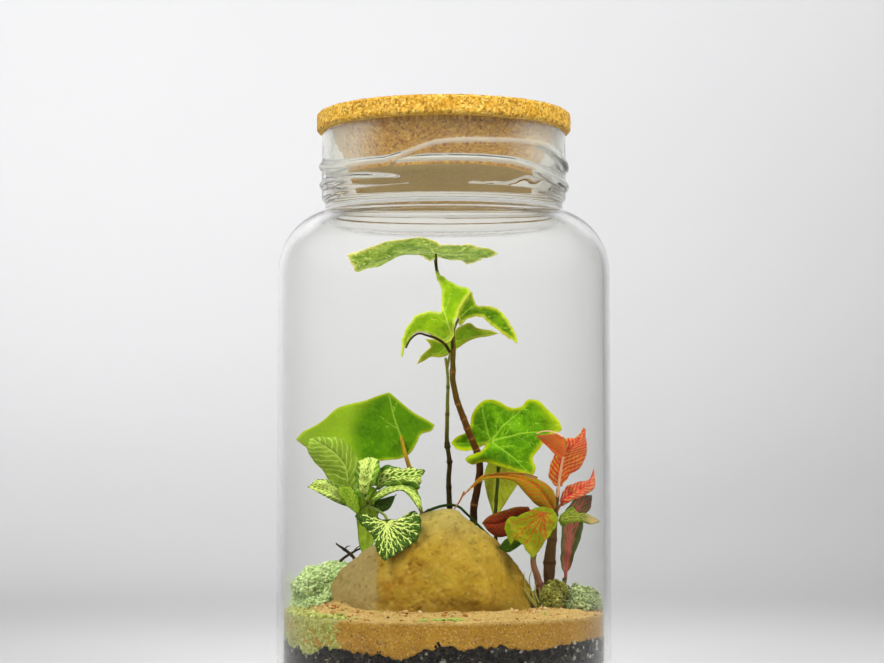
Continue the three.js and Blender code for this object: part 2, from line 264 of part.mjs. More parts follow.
for (const [name, l] of Object.entries(FAN_LEAVES)) {
  const [a, b, h] = l.flat ? ['x', 'y', 'z'] : ['x', 'z', 'y'];
  const O = outline(l.pts, l.step), C = V(l.c);
  const height = plate([...l.pts.map(V), C].map((p) => [p[a], p[b], p[h]]));
  const flat = O.map((p) => new THREE.Vector2(p[a], p[b]));
  let T = THREE.ShapeUtils.triangulateShape(flat, []);
  const split = new Map(), next = [];
  const mid = (i, j) => { const k = Math.min(i, j) + '_' + Math.max(i, j); if (!split.has(k)) { flat.push(flat[i].clone().lerp(flat[j], 0.5)); split.set(k, flat.length - 1); } return split.get(k); };
  for (const [i, j, k] of T) { const p = mid(i, j), q = mid(j, k), r = mid(k, i); next.push([i, p, r], [p, j, q], [r, q, k], [p, q, r]); }
  T = next;
  const P = flat.map((p) => { const q = new THREE.Vector3(); q[a] = p.x; q[b] = p.y; q[h] = height(p.x, p.y); return q; });
  add(name, thicken(P, T, LEAF_T), l.color, 0.45);
}
for (const [name, l] of Object.entries(LOFT_LEAVES)) {
  const C = ['left', 'mid', 'right'].map((k) => new THREE.CatmullRomCurve3(l[k].map(V), false, 'centripetal'));
  const nu = 7, cols = [-1, -0.5, 0, 0.5, 1], P = [], T = [];
  for (let i = 0; i <= nu; i++) {
    const u = 1 - (1 - i / nu) ** 1.15, L = C[0].getPointAt(u), M = C[1].getPointAt(u), R = C[2].getPointAt(u);
    const up = L.clone().sub(M).cross(C[1].getTangentAt(u)); if (up.length() > 1e-6) up.normalize(); if (up.y > 0) up.negate();
    for (const v of cols) {
      const E = v < 0 ? L : R, w = Math.abs(v), k = Math.min(1, E.distanceTo(M) / 6);
      P.push(M.clone().lerp(E, w).addScaledVector(up, l.bulge * k * 4 * w * (1 - w)));
    }
  }
  for (let i = 0; i < nu; i++) for (let j = 0; j < 4; j++) { const a = i * 5 + j, b = a + 5; T.push([a, b, b + 1], [a, b + 1, a + 1]); }
  add(name, thicken(...weld(P, T), LEAF_T), l.color, 0.5);
}

// ---- stone ----
const ang = STONE_OUT.map((p) => [Math.atan2(p[1] - STONE_C[2], p[0] - STONE_C[0]), Math.hypot(p[0] - STONE_C[0], p[1] - STONE_C[2])]).sort((a, b) => a[0] - b[0]);
function reach(a) {
  const n = ang.length; let i = ang.findIndex((q) => q[0] > a); if (i < 0) i = 0;
  const p = ang[(i + n - 1) % n], q = ang[i]; let da = q[0] - p[0], d = a - p[0];
  if (da <= 0) da += 2 * Math.PI; if (d < 0) d += 2 * Math.PI;
  return p[1] + (q[1] - p[1]) * d / da;
}
function stone(grow, detail) {
  const g = new THREE.IcosahedronGeometry(1, detail), p = g.attributes.position;
  for (let i = 0; i < p.count; i++) {
    const x = p.getX(i), y = p.getY(i), z = p.getZ(i), a = Math.atan2(z, x), c = Math.hypot(x, z), k = (c ** 2.4 + Math.abs(y) ** 2.4) ** (-1 / 2.4);
    const rr = reach(a) + grow, half = (y > 0 ? STONE_BACK - 12 * Math.max(0, -Math.cos(a)) : STONE_FRONT) + grow;
    p.setXYZ(i, STONE_C[0] + c * k * rr * Math.cos(a), STONE_C[1] + y * k * half, Math.max(STONE_BOTTOM - grow, STONE_C[2] + c * k * rr * Math.sin(a)));
  }
  return g;
}
add('stone', stone(0, 5), 0xa98e45, 0.9);
const stoneRoom = solid(stone(0.7, 5));

// ---- bed: gravel, soil, sand ----
const disc = (z0, z1, z2 = z1) => lathe([[0, z0], [FILL_R, z0], [FILL_R, z1], [FILL_R * 0.62, (z1 + 2 * z2) / 3], [FILL_R * 0.3, z2], [0, z2]]);
const gravelProfile = [[0, GRAVEL[0]], [74.5, GRAVEL[0]], [79, 9.6], [FILL_R, 14], [FILL_R, GRAVEL[1]], [0, GRAVEL[1]]];
add('drainage_gravel', lathe(gravelProfile), 0x8b8478, 0.9);
const blob = (c, r, detail = 2) => { const g = new THREE.IcosahedronGeometry(1, detail), p = g.attributes.position; for (let i = 0; i < p.count; i++) p.setXYZ(i, c[0] + r[0] * p.getX(i), c[1] + r[1] * p.getY(i), c[2] + r[2] * p.getZ(i)); return g; };
const LOW_C = [-60, -47, 37.5], LOW_R = [15, 12, 7];
const fill = solid(disc(20, 60));
const lowRoom = solid(blob(LOW_C, LOW_R.map((v) => v + 0.5)));
add('moss_left_low', back(solid(blob(LOW_C, LOW_R)).intersect(fill)), 0x93a566, 0.95);
let soil = solid(disc(SOIL[0], SOIL[1])).subtract(lowRoom), sand = solid(disc(SAND[0], SAND[1], SAND[2])).subtract(lowRoom).subtract(stoneRoom);
for (const c of cutters) { soil = soil.subtract(c); sand = sand.subtract(c); }
add('potting_soil', back(soil), 0x4b463a, 0.95);
add('sand_layer', back(sand), 0xb98f4b, 0.95);

// ---- moss cushions on the sand ----
const MOSS = {
  moss_left: { c: [-60.5,15.5], r: [19,21.5,21.5], p: 3.2, detail: 4, lean: 3, color: 0x9aaa6c },
  moss_right: { c: [71.5,1], r: [8.5,17,10.5], p: 2.4, detail: 3, color: 0x8c985c },
  moss_back: { c: [55.5,3], r: [7.2,14,13], p: 2.4, detail: 3, color: 0x6d7340 },
};
for (const [name, m] of Object.entries(MOSS)) {
  const g = new THREE.IcosahedronGeometry(1, m.detail), p = g.attributes.position, z0 = SAND[2] + GAP + 0.1;
  for (let i = 0; i < p.count; i++) {
    const x = p.getX(i), y = p.getY(i), z = p.getZ(i), k = (Math.abs(x) ** m.p + Math.abs(y) ** m.p + Math.abs(z) ** m.p) ** (-1 / m.p);
    const w = 1 + 0.035 * bump(x * 9, y * 9, z * 9, 1);
    p.setXYZ(i, m.c[0] + x * k * w * m.r[0], m.c[1] + y * k * w * m.r[1], z0 + Math.max(0, z * k * w * m.r[2] + (m.lean || 0) * x * Math.max(0, z)));
  }
  let s = solid(g).intersect(solid(disc(30, 110))).subtract(stoneRoom);
  for (const c of cutters) s = s.subtract(c);
  add(name, back(s), m.color, 0.95);
}

export default group;
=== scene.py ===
# Looks of the glass plant terrarium. Lengths in the tables are millimetres, in the object's own frame.
import bpy, bmesh, math
import numpy as np
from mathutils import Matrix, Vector


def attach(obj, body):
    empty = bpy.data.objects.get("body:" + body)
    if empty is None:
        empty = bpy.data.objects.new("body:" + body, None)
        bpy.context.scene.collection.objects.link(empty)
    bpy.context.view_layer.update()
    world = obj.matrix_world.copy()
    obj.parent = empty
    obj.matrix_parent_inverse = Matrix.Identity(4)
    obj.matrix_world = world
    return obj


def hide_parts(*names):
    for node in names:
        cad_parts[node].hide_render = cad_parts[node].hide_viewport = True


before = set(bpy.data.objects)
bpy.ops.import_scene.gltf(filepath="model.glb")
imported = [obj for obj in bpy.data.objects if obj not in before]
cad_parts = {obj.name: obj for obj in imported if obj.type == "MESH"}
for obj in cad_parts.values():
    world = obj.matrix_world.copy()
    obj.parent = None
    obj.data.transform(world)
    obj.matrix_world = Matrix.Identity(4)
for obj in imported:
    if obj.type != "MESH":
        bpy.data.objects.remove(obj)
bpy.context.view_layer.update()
MM = 0.001

# ------------------------------------------------------------------ tables
FAN_LEAVES = {
    "ivy_leaf_top": dict(c=(-4, 5, 228.6), flat=True, pts=[(-49.5, -12, 226.5, 1), (-47.3, -9.5, 222.9), (-45.9, -7, 220), (-44.4, -4, 218.1, 1), (-39.9, -1, 219.5), (-35.9, 1.5, 221.3), (-31.9, 4, 223.4), (-27.3, 7, 226.3), (-22.2, 11, 228.7), (-16.1, 16, 229.6), (-10.9, 20, 228.3), (-7.2, 25, 226.4, 1), (-4.1, 21, 227.6), (-0.4, 20, 228.1), (3.8, 19, 226.5), (8.5, 19, 226.6), (13, 22, 224, 1), (16.6, 16, 225), (19.8, 9, 226.2), (23.8, 3, 226.6), (28.5, -4, 227.8, 1), (23.5, -10, 229.3), (18.9, -14, 229.9), (13.7, -20, 231.5, 1), (8.7, -20, 230.4), (3.6, -21, 230.4), (0.1, -24, 230.8), (-3.9, -29, 231.8), (-11.4, -35, 232.9, 1), (-16.9, -32, 232.5), (-21.9, -30, 232.2), (-28, -27, 231.3), (-33.4, -24, 230.1), (-38.8, -20, 228.7), (-44.5, -16, 227.6)]),
    "ivy_leaf_mid_left": dict(c=(3.9, -9, 185.6), pts=[(1.1, -8, 181.6), (-4, -12, 184.2), (-9, -16, 186), (-13.3, -18, 186.8), (-17.5, -21, 181.9), (-21.7, -25, 172.6, 1), (-21.2, -24, 179.7), (-19.8, -23, 186.3), (-17, -21, 191.4), (-13, -19, 195.4), (-7, -16, 197.1), (-1.9, -12, 196.9), (-1.2, -10, 203.4), (-1.4, -7, 209.3), (-3.2, -4, 213.6), (-4.1, -1, 218.8, 1), (-0.9, -2.5, 216.6), (1.6, -3.5, 214.4), (4.7, -4.5, 212.5), (7.8, -5, 210.7), (11.4, -5, 209.9), (13.4, -5.5, 208.4), (11.3, -9, 204), (8.2, -11, 199.2), (6.7, -12, 194.6), (5.4, -12, 190), (4.4, -9, 183.1)]),
    "ivy_leaf_mid_right": dict(c=(7.5, -6, 194), pts=[(6.6, -6, 196), (8.3, -5, 200.7), (10.8, -3.5, 205.2), (14, -0.5, 208.4), (15.5, 2, 204.3), (17.1, 3, 201.3), (21.7, 2, 201), (26.2, -2, 199.9), (30.2, -6, 196.8), (33.7, -10, 191.2), (36.3, -14, 185.8), (37.5, -18, 180.3, 1), (33, -14, 183.5), (28.1, -10, 187.3), (23.6, -6, 191.2), (19.3, -3, 195), (15.5, -2, 195.5), (11.9, -3, 193.9), (8, -4, 190.8)]),
    "ivy_leaf_mid_low": dict(c=(5.3, 7, 183), pts=[(6.6, 5, 189.6), (9.9, 4, 191.6), (13.5, 3, 192.5), (16.6, 3, 190.2), (20.7, 2, 189.1), (24.2, 0, 188.5), (28, -3, 186.7, 1), (22.7, 2, 185.5), (17.6, 4, 184.9), (12.5, 6, 183.2), (7.9, 8, 180.2), (4.3, 10, 178), (1.2, 12, 176), (-3, 13, 175.3), (-6.6, 12, 175.5), (-9.7, 8, 173.5), (-14, 4, 171.2, 1), (-11.8, 7, 175.7), (-8.7, 9, 178.7), (-6.9, 9, 181), (-9.7, 7.5, 184.5, 1), (-5.1, 8, 184.3), (-0.9, 8, 183.3), (2.7, 7.5, 183.5)]),
    "ivy_leaf_right": dict(c=(24.5, 16.5, 132), pts=[(3.7, 26, 131.1, 1), (6.9, 25.5, 127.4), (11.6, 25, 126.1), (15.3, 24, 127.4), (18.9, 21.5, 129.1), (21.9, 17.2, 130.1, 1), (19, 12.8, 126.6), (13.6, 12.5, 124.2), (11.2, 13, 122.4), (14.6, 14, 120), (20.3, 14.5, 121.4), (27.5, 13.5, 119.3), (37, 11.5, 116.4), (46, 9.5, 113.7, 1), (47.6, 11, 118), (46.2, 13, 122.9), (50.3, 14, 128.4), (54.5, 14.5, 133.8), (61.4, 12, 137.9, 1), (60, 15, 142.5), (53.8, 19, 149), (49.9, 21, 152.9), (44, 22, 153.4), (40.9, 22, 150.1), (34.6, 23, 149.6), (28.7, 24.5, 153), (22.9, 25.5, 153.9), (18.5, 25.5, 151.5), (14.7, 25.5, 145.7), (13.7, 26, 140), (11.7, 26.5, 136.8), (6.4, 27, 134.3)]),
    "ivy_leaf_left": dict(c=(-22.5, 21.5, 134.7), pts=[(-77.4, 10, 132.7, 1), (-70.4, 15, 127.6), (-59.1, 18, 121.4), (-48.8, 20, 118.8), (-38.4, 20.5, 120.9), (-31.1, 20.5, 122), (-23.3, 20, 122.8), (-17.3, 19, 125.7), (-13.7, 18, 131.7), (-11.8, 17.5, 135.4), (-6.4, 15.5, 137.3), (-4.7, 15, 140.3, 1), (-8.7, 16.5, 143), (-16, 18.5, 147.2), (-23.1, 20, 152.9), (-28.4, 20.5, 157.5, 1), (-34.3, 21, 155.8), (-41.7, 22, 153.1), (-49, 22, 151.5), (-56.2, 21.5, 149.1), (-63.4, 19, 142.7), (-68.9, 16, 139.3), (-73.9, 12.5, 136.7)]),
    "fittonia_white_leaf_front": dict(c=(-28.1, -29, 91.1), pts=[(-44.2, -22, 94.1, 1), (-38.9, -23.5, 95.2), (-33.3, -27, 93.4), (-28.5, -29, 92.7), (-23.3, -28, 92.9), (-18.9, -26, 95.1), (-14.2, -24, 96.7), (-11.6, -25, 92.7), (-11.4, -28, 86.8), (-13.3, -29.5, 82.5), (-18.3, -31, 78.5), (-23.7, -32, 75.2), (-29.2, -33, 72.2, 1), (-32, -32, 75.4), (-33.9, -31, 79.9), (-35.1, -29.5, 83.7), (-38.2, -27, 87.5), (-41.6, -24.5, 90.7)]),
    "fittonia_red_leaf_front": dict(c=(49.9, -15, 95.5), pts=[(56.4, -12, 95.2), (57.5, -14, 91.4), (53.8, -16.5, 85.5), (50.7, -18.5, 81.3), (47.3, -20.5, 76.6), (44.1, -22, 72.7, 1), (41.2, -21, 76.7), (38.6, -20, 80.4), (35.6, -19, 81.9), (33.3, -18, 79.8, 1), (31.6, -18, 83.5), (30.5, -17, 88.3), (32.3, -16, 92.6), (36.8, -15.5, 94.3), (42.4, -15, 96.3), (46.7, -14, 98), (51.6, -12.5, 98.2)]),
}
LOFT_LEAVES = {
    "ivy_leaf_hanging": dict(bulge=0.8, mid=[(31.1, 29.5, 123.3), (30.6, 31, 114.3), (29.1, 32.5, 104.9), (27, 34, 91.2)],
        left=[(24.3, 30, 123.3), (21.4, 31.5, 114.3), (22.7, 33, 103.8), (27, 34, 91.2)],
        right=[(39, 29, 123.3), (40.6, 30.5, 113.3), (34.3, 32, 102.3), (27, 34, 91.2)]),
    "fittonia_white_leaf_tall": dict(bulge=1.2, mid=[(-48.6, 5, 102.2), (-49.3, 3, 109.9), (-50.5, 0, 118.6), (-54.2, -4, 124.2), (-60.3, -8, 129), (-67.7, -12, 133.5)],
        left=[(-50.6, 4, 102.2), (-57.4, 0, 109.9), (-62, -4, 117.3), (-66.6, -9, 122.6), (-68.9, -12, 127.9), (-67.7, -12, 133.5)],
        right=[(-47.1, 6, 103.2), (-44.6, 7, 111.9), (-44.1, 6, 120.6), (-47.6, 3, 128.8), (-56.5, -4, 133.6), (-67.7, -12, 133.5)]),
    "fittonia_white_leaf_outer": dict(bulge=1, mid=[(-45.4, 2, 97.1), (-50.4, 0, 101.5), (-55.9, -4, 105.1), (-62.3, -8, 108.2), (-68.7, -12, 108.5)],
        left=[(-46.5, 4, 100.2), (-51.5, 1, 107.3), (-57.4, -3.5, 110.8), (-63.2, -9, 112.7), (-68.7, -12, 108.5)],
        right=[(-46.9, 0, 97.7), (-53.3, -4, 100), (-58.7, -8, 102.9), (-63.9, -11, 106), (-68.7, -12, 108.5)]),
    "fittonia_white_leaf_bud": dict(bulge=0.8, mid=[(-43.6, -4, 95.2), (-46.2, -5, 100.8), (-48.9, -5.5, 105.4), (-54, -5.5, 109.4)],
        left=[(-45.2, -4, 95.7), (-50.5, -4, 100.3), (-53.3, -4.5, 104.9), (-54, -5.5, 109.4)],
        right=[(-42.6, -5, 97.3), (-43.1, -6.5, 103.4), (-46.6, -6.5, 108.4), (-54, -5.5, 109.4)]),
    "fittonia_white_leaf_crown": dict(bulge=1.4, mid=[(-39.4, -8, 101.9), (-39.8, -12, 108), (-38.7, -14.5, 114.6), (-37.8, -13, 119.6), (-37.7, -9, 123.6)],
        left=[(-41.9, -9, 102.9), (-45.2, -12, 109.5), (-44.1, -14, 116.1), (-41.9, -12, 121.4), (-37.7, -9, 123.6)],
        right=[(-38.4, -8, 103.9), (-35.5, -13, 109.3), (-32.4, -15, 115.1), (-32.7, -13, 120.6), (-37.7, -9, 123.6)]),
    "fittonia_white_leaf_right": dict(bulge=1.5, mid=[(-33.9, -7.5, 108.5), (-29.8, -10.5, 112), (-24.1, -13, 113.8), (-18.6, -14, 113.8), (-14, -14, 114.6), (-9.8, -12, 116.6)],
        left=[(-34.9, -6.5, 110.5), (-32.7, -6, 117.1), (-27.6, -7, 119.3), (-20.7, -10, 118.1), (-15.1, -12, 118.1), (-9.8, -12, 116.6)],
        right=[(-32.8, -9, 107), (-28, -11.5, 108.7), (-22.1, -14, 109.5), (-17, -15.5, 108.5), (-12.6, -16, 107.5), (-9.8, -12, 116.6)]),
    "fittonia_white_leaf_arch": dict(bulge=0.8, mid=[(-35.8, -10.5, 102.7), (-31.7, -13.5, 105.6), (-26.6, -17, 107.6), (-21, -19.8, 108), (-16.4, -21, 105.8), (-13.2, -21, 101.1), (-11.3, -20, 96.1)],
        left=[(-35.6, -11, 104.5), (-31.7, -13, 107.5), (-26.6, -16.5, 109.1), (-20, -19.3, 109.5), (-14.3, -20.3, 107.6), (-11.5, -20.3, 102.1), (-11.3, -20, 96.1)],
        right=[(-35.3, -10.5, 100.7), (-30.1, -14.5, 103.5), (-24.8, -18, 106.2), (-20.8, -20.5, 106.7), (-17.4, -21.8, 104.1), (-14.3, -21.8, 99.9), (-11.3, -20, 96.1)]),
    "fittonia_white_leaf_low": dict(bulge=0.8, mid=[(-35.2, -5.5, 99.3), (-31.8, -7.5, 99.3), (-28.2, -10, 100.7), (-24.1, -12.5, 104.6)],
        left=[(-34.4, -6.5, 101.6), (-30.8, -9, 102.7), (-27.2, -11, 103.8), (-24.1, -12.5, 104.6)],
        right=[(-34.2, -5.5, 97), (-31.4, -7, 95.8), (-27.2, -9.5, 97.9), (-24.1, -12.5, 104.6)]),
    "fittonia_white_leaf_back": dict(bulge=-1, mid=[(-40.8, 0.6, 107.9), (-39.2, 1, 100.2), (-38.8, 3, 93.5), (-39.6, 5, 85.3), (-39.9, 7, 77.6), (-39.7, 7.5, 72)],
        left=[(-44.1, 1.5, 107.3), (-44.9, 2.6, 101.7), (-45, 4, 94.5), (-44.1, 6, 84.8), (-43.1, 7, 77.1), (-39.7, 7.5, 72)],
        right=[(-36.1, -0.5, 108.4), (-32.8, -0.5, 102.8), (-32.3, 1, 97.7), (-33.9, 2.5, 91.5), (-35.5, 4, 84.8), (-36.7, 6.5, 77.6), (-39.7, 7.5, 72)]),
    "fittonia_red_leaf_top": dict(bulge=1, mid=[(58.6, 0, 108.4), (58.8, -2, 114.5), (59.4, -4, 121.1), (62.2, -5, 126.7), (66.9, -4, 130.5), (72, 1, 138.2)],
        left=[(56.5, -1, 109.4), (53.5, -2, 113.5), (54.4, -3, 119.6), (56.6, -4.5, 125.2), (58.6, -5, 130.3), (62.5, -5, 133.1), (67.4, -3, 133.3), (72, 1, 138.2)],
        right=[(60.4, 1, 109.9), (65.7, 3, 115.5), (72.4, 4, 120.6), (73.6, 4, 127.3), (73.3, 3, 132.6), (72, 1, 138.2)]),
    "fittonia_red_leaf_upper": dict(bulge=0.7, mid=[(60.4, -9.5, 123.6), (56.5, -7, 126.7), (52.7, -1, 130.6), (47.1, 4, 134.5)],
        left=[(61.9, -10, 126.2), (60.8, -7.5, 133.8), (54.8, -1, 135.4), (47.1, 4, 134.5)],
        right=[(59.4, -9.5, 122.4), (55.5, -7, 125.9), (51.2, -1, 130.6), (47.1, 4, 134.5)]),
    "fittonia_red_leaf_mid": dict(bulge=0.8, mid=[(60, 3.5, 99.7), (62.6, 3.5, 103.2), (68.2, 2, 106.3), (73.5, 1, 109.9), (77.9, 4, 118.3)],
        left=[(60.1, 4.5, 102.2), (62.7, 5, 108.1), (69.3, 4, 110.9), (75.2, 3, 112.2), (77.9, 4, 118.3)],
        right=[(60.5, 3, 98.4), (65.8, 1, 101.5), (71.9, 0, 104.1), (77.4, 0, 108.1), (77.9, 4, 118.3)]),
    "fittonia_red_leaf_long": dict(bulge=1, mid=[(55.5, -4, 96.7), (51.8, -8, 102.9), (47.1, -11, 108.5), (39.5, -13, 112.5), (30.4, -14, 114.1), (20.8, -15, 113.1), (8.6, -16, 103.3)],
        left=[(57.1, -3.5, 99.3), (55.7, -6, 106.4), (49.2, -9, 111.5), (41, -12, 114.9), (30.9, -13.5, 115.3), (19.7, -15, 114.4), (8.6, -16, 103.3)],
        right=[(53.4, -5, 96.3), (47.2, -9, 99.1), (41.3, -12, 105), (34.9, -14, 111.3), (29.3, -15, 112.7), (20.2, -15.5, 112.2), (8.6, -16, 103.3)]),
    "fittonia_red_leaf_side": dict(bulge=0.7, mid=[(58, -10, 91.8), (62.2, -11, 93.4), (67.2, -12.5, 93.7), (72.6, -14, 92.7), (78.3, -15, 91.2)],
        left=[(59.3, -9.5, 94.8), (64.6, -9.5, 98.5), (67.8, -11.5, 95.6), (72.9, -13.5, 94.8), (78.3, -15, 91.2)],
        right=[(59.2, -11, 88.6), (63.7, -12, 90.4), (68.6, -13.5, 91), (73.6, -15, 89.8), (78.3, -15, 91.2)]),
    "fittonia_red_leaf_dark": dict(bulge=0.9, mid=[(45.4, -2, 95.7), (38.3, -1, 93.4), (31.2, -1, 90.8), (25.1, -2, 89.6), (19.3, -3, 90.1)],
        left=[(42.9, -3, 98.6), (35.8, -2, 98), (28.6, -2, 95.7), (23, -2.5, 93.9), (19.3, -3, 90.1)],
        right=[(43.4, -1.5, 91.6), (34.8, 0, 84.7), (28.2, 0, 82.7), (22.8, -1.5, 85.8), (19.3, -3, 90.1)]),
    "fittonia_red_leaf_under": dict(bulge=0.5, mid=[(41.6, -9.5, 82.2), (36.4, -11, 80.5), (32.4, -12.5, 79.1), (27.5, -14, 77.9)],
        left=[(40, -9.5, 84.3), (35.4, -11, 83.3), (30.8, -12.5, 82.1), (27.5, -14, 77.9)],
        right=[(39, -9.5, 79.2), (35.7, -11, 77.3), (32.1, -12.5, 75.6), (27.5, -14, 77.9)]),
    "fittonia_red_leaf_back": dict(bulge=-1, mid=[(63.1, 14, 61.4), (64.2, 15.5, 70.6), (65.4, 17, 80.8), (67.3, 18, 90.6), (71.7, 17, 98.4), (77.6, 13, 104.1)],
        left=[(61.8, 14, 64), (60.9, 15.5, 74.2), (61.2, 17, 84.4), (62.9, 18, 94.2), (69.6, 17, 102.8), (77.6, 13, 104.1)],
        right=[(64.1, 14.5, 63.4), (68.3, 15, 74.2), (72, 15.5, 84), (73.3, 15.5, 91.7), (76.9, 14, 99), (77.6, 13, 104.1)]),
}
STEMS = {
    "ivy_stem_main": dict(pts=[(12, 36, 24), (12, 36, 45), (13.5, 35, 65), (15.4, 33, 79.2), (15.6, 31, 90.8), (16.1, 29, 98.7), (17.4, 27, 106.5), (18.9, 25, 117), (18.1, 21, 123.8), (16.6, 17.2, 127.9), (13.1, 13.5, 136.1), (10.2, 10, 143.8), (6.9, 5.5, 152.5), (4.7, 1.5, 162.6), (4.6, -2, 170.7), (4.7, -3.2, 178.3), (4.5, -1.5, 186.1), (3.5, 2, 196.6), (1.4, 4, 206), (-1.4, 5, 213.9), (-3.8, 6, 220.2), (-4.3, 7, 225.5)]),
    "ivy_stem_side": dict(pts=[(3.5, 37, 24), (3.5, 36.5, 45), (3.2, 35.5, 68), (3, 34, 85.5), (3, 32, 98.6), (2.6, 29, 112.8), (3, 27, 122.2), (1.7, 25, 131.6), (1.9, 21, 149.3), (2.2, 18, 160.1), (1.8, 15.5, 168.4), (0.9, 13.5, 174.8)]),
    "ivy_petiole_right": dict(pts=[(25, 36, 24), (25.5, 35.5, 45), (26.8, 34.5, 66), (27.5, 33, 83.4), (27.1, 28.5, 95), (27.8, 26, 103.9), (28.3, 24.5, 111.8), (28.3, 23.5, 119.1), (27.2, 21.5, 124.8), (25, 18.8, 130.5)]),
    "ivy_petiole_left": dict(pts=[(-7.5, 35, 24), (-8, 34, 45), (-9, 31, 68), (-10.3, 26, 88.8), (-12.4, 24.5, 97.7), (-15, 23, 107.6), (-16.9, 21.3, 114.9), (-18.5, 18, 120.1), (-19.7, 16.6, 124.3), (-21, 17, 128.9), (-22.2, 17.6, 133.3)]),
    "ivy_runner": dict(pts=[(-17, 34, 24), (-17, 33, 50), (-16.5, 29, 76), (-15, 19, 89), (-13.3, 10, 92.6), (-9.2, 12, 95.4), (-4.5, 14, 97.4), (1.7, 15, 98.9), (7.4, 15, 98.2), (12, 14, 94.3), (18.2, 13, 88.4), (23.8, 12, 82.8), (29, 11, 77.4), (33, 10, 72.4)]),
    "fittonia_white_stem": dict(pts=[(-42, 23, 24), (-42, 20.5, 42), (-41, 16.5, 56), (-39.6, 14, 67.6), (-40.1, 13, 78.4), (-40.6, 11, 88.7), (-40, 8, 97.5), (-39.1, 3.5, 103.2)]),
    "fittonia_white_petiole": dict(pts=[(-39.1, -2, 99.2), (-35.9, -9, 97.9), (-32.1, -17, 96.3), (-28.9, -24, 93.9), (-28.1, -27.5, 92.3)]),
    "fittonia_red_stem": dict(pts=[(53, 6, 24), (53, 5.5, 38), (53, 5, 47.6), (53.6, 5, 55.8), (54, 5, 65.9), (54.9, 4.5, 77.2), (56.4, 3.5, 87.4), (57.4, 2.5, 95.6), (58.1, 1.5, 103.3), (58.6, 1, 107.9)]),
    "fittonia_red_stem_front": dict(pts=[(49.5, 3, 24), (49.6, 1, 40), (49.4, -1, 51.1), (48.9, -3, 57.2), (47.1, -6, 64), (45.1, -8, 71.1), (46.4, -9, 78.7), (49.7, -9.3, 86.8), (53.2, -9, 93.8)]),
    "fittonia_red_stem_back": dict(pts=[(60.5, 12, 24), (60.6, 12, 38), (60.8, 12, 48.2), (61.9, 13, 55.3), (62.8, 13.5, 61.4)]),
    "twig_long": dict(pts=[(-55.9, 14, 79.1), (-52, 13, 76.6), (-48.3, 12, 73.8), (-44.7, 11, 70.3)]),
    "twig_short": dict(pts=[(-43.3, 16, 76.5), (-47, 16, 74.7), (-50.6, 16, 72.6), (-53.7, 16, 70)]),
}
STONE_C = (-5.5, -2.0, 63.8)
STONE_OUT = [(-57.4, 58.7), (-55.3, 63.8), (-50.3, 68.8), (-44.2, 73.9), (-37.1, 78.4), (-27.4, 85), (-19.8, 90.6), (-13.1, 93.7), (-6, 96.5), (1.6, 97.7), (6.7, 97), (11.3, 93.7), (17.9, 88.1), (23.5, 82.5), (28.6, 78.4), (34.2, 73.9), (38.8, 67.8), (42.3, 61.2), (45.3, 55.2), (46.9, 51.1), (45.8, 47.1), (38, 38), (15, 33), (-15, 33), (-44, 38), (-55, 48)]
JAR_R, WALL, BODY_TOP, SHOULDER_R, SHOULDER_H = 85.0, 3.5, 217.0, 57.0, 32.0
FILL_R = 81.15

# ------------------------------------------------------------------ helpers
def lin(r, g, b):
    f = lambda c: c / 12.92 if c <= 0.04045 else ((c + 0.055) / 1.055) ** 2.4
    return (f(r / 255.0), f(g / 255.0), f(b / 255.0), 1.0)

def wob(P, scale, seed, octaves=1):
    """Smooth repeatable unevenness of about -1 to 1 at points in millimetres."""
    P = np.asarray(P, float); out = np.zeros(len(P)); amp, tot = 1.0, 0.0
    for o in range(octaves):
        r = np.random.default_rng(seed * 101 + o)
        k = r.normal(size=(9, 3)); k /= np.linalg.norm(k, axis=1)[:, None]
        k *= (2 * np.pi / scale * 2 ** o) * r.uniform(0.6, 1.3, 9)[:, None]
        out += amp * np.sin(P @ k.T + r.uniform(0, 2 * np.pi, 9)).sum(1) / 3.2
        tot += amp; amp *= 0.5
    return out / tot

def unit(v):
    v = np.asarray(v, float); n = np.linalg.norm(v, axis=-1, keepdims=True)
    return v / np.maximum(n, 1e-9)

def curve(P, n, sub=18):
    """n points at even spacing along a smooth curve through P."""
    P = np.asarray(P, float)
    A = np.vstack([2 * P[0] - P[1], P, 2 * P[-1] - P[-2]]); out = []
    for i in range(len(P) - 1):
        p = A[i:i + 4]; t = [0.0]
        for j in range(3): t.append(t[-1] + max(1e-4, np.linalg.norm(p[j + 1] - p[j])) ** 0.5)
        u = np.linspace(t[1], t[2], sub, endpoint=False)[:, None]
        L = lambda a, b, ta, tb: (tb - u) / (tb - ta) * a + (u - ta) / (tb - ta) * b
        a1, a2, a3 = L(p[0], p[1], t[0], t[1]), L(p[1], p[2], t[1], t[2]), L(p[2], p[3], t[2], t[3])
        b1, b2 = L(a1, a2, t[0], t[2]), L(a2, a3, t[1], t[3])
        out.append(L(b1, b2, t[1], t[2]))
    out.append(P[-1:]); C = np.vstack(out)
    s = np.r_[0, np.cumsum(np.linalg.norm(np.diff(C, axis=0), axis=1))]
    q = np.linspace(0, s[-1], n)
    return np.stack([np.interp(q, s, C[:, k]) for k in range(3)], 1)

def vnormals(V, T):
    n = np.zeros_like(V); f = np.cross(V[T[:, 1]] - V[T[:, 0]], V[T[:, 2]] - V[T[:, 0]])
    for k in range(3): np.add.at(n, T[:, k], f)
    return unit(n)

def tris(F):
    F = np.asarray(F)
    return F if F.shape[1] == 3 else np.vstack([F[:, [0, 1, 2]], F[:, [0, 2, 3]]])

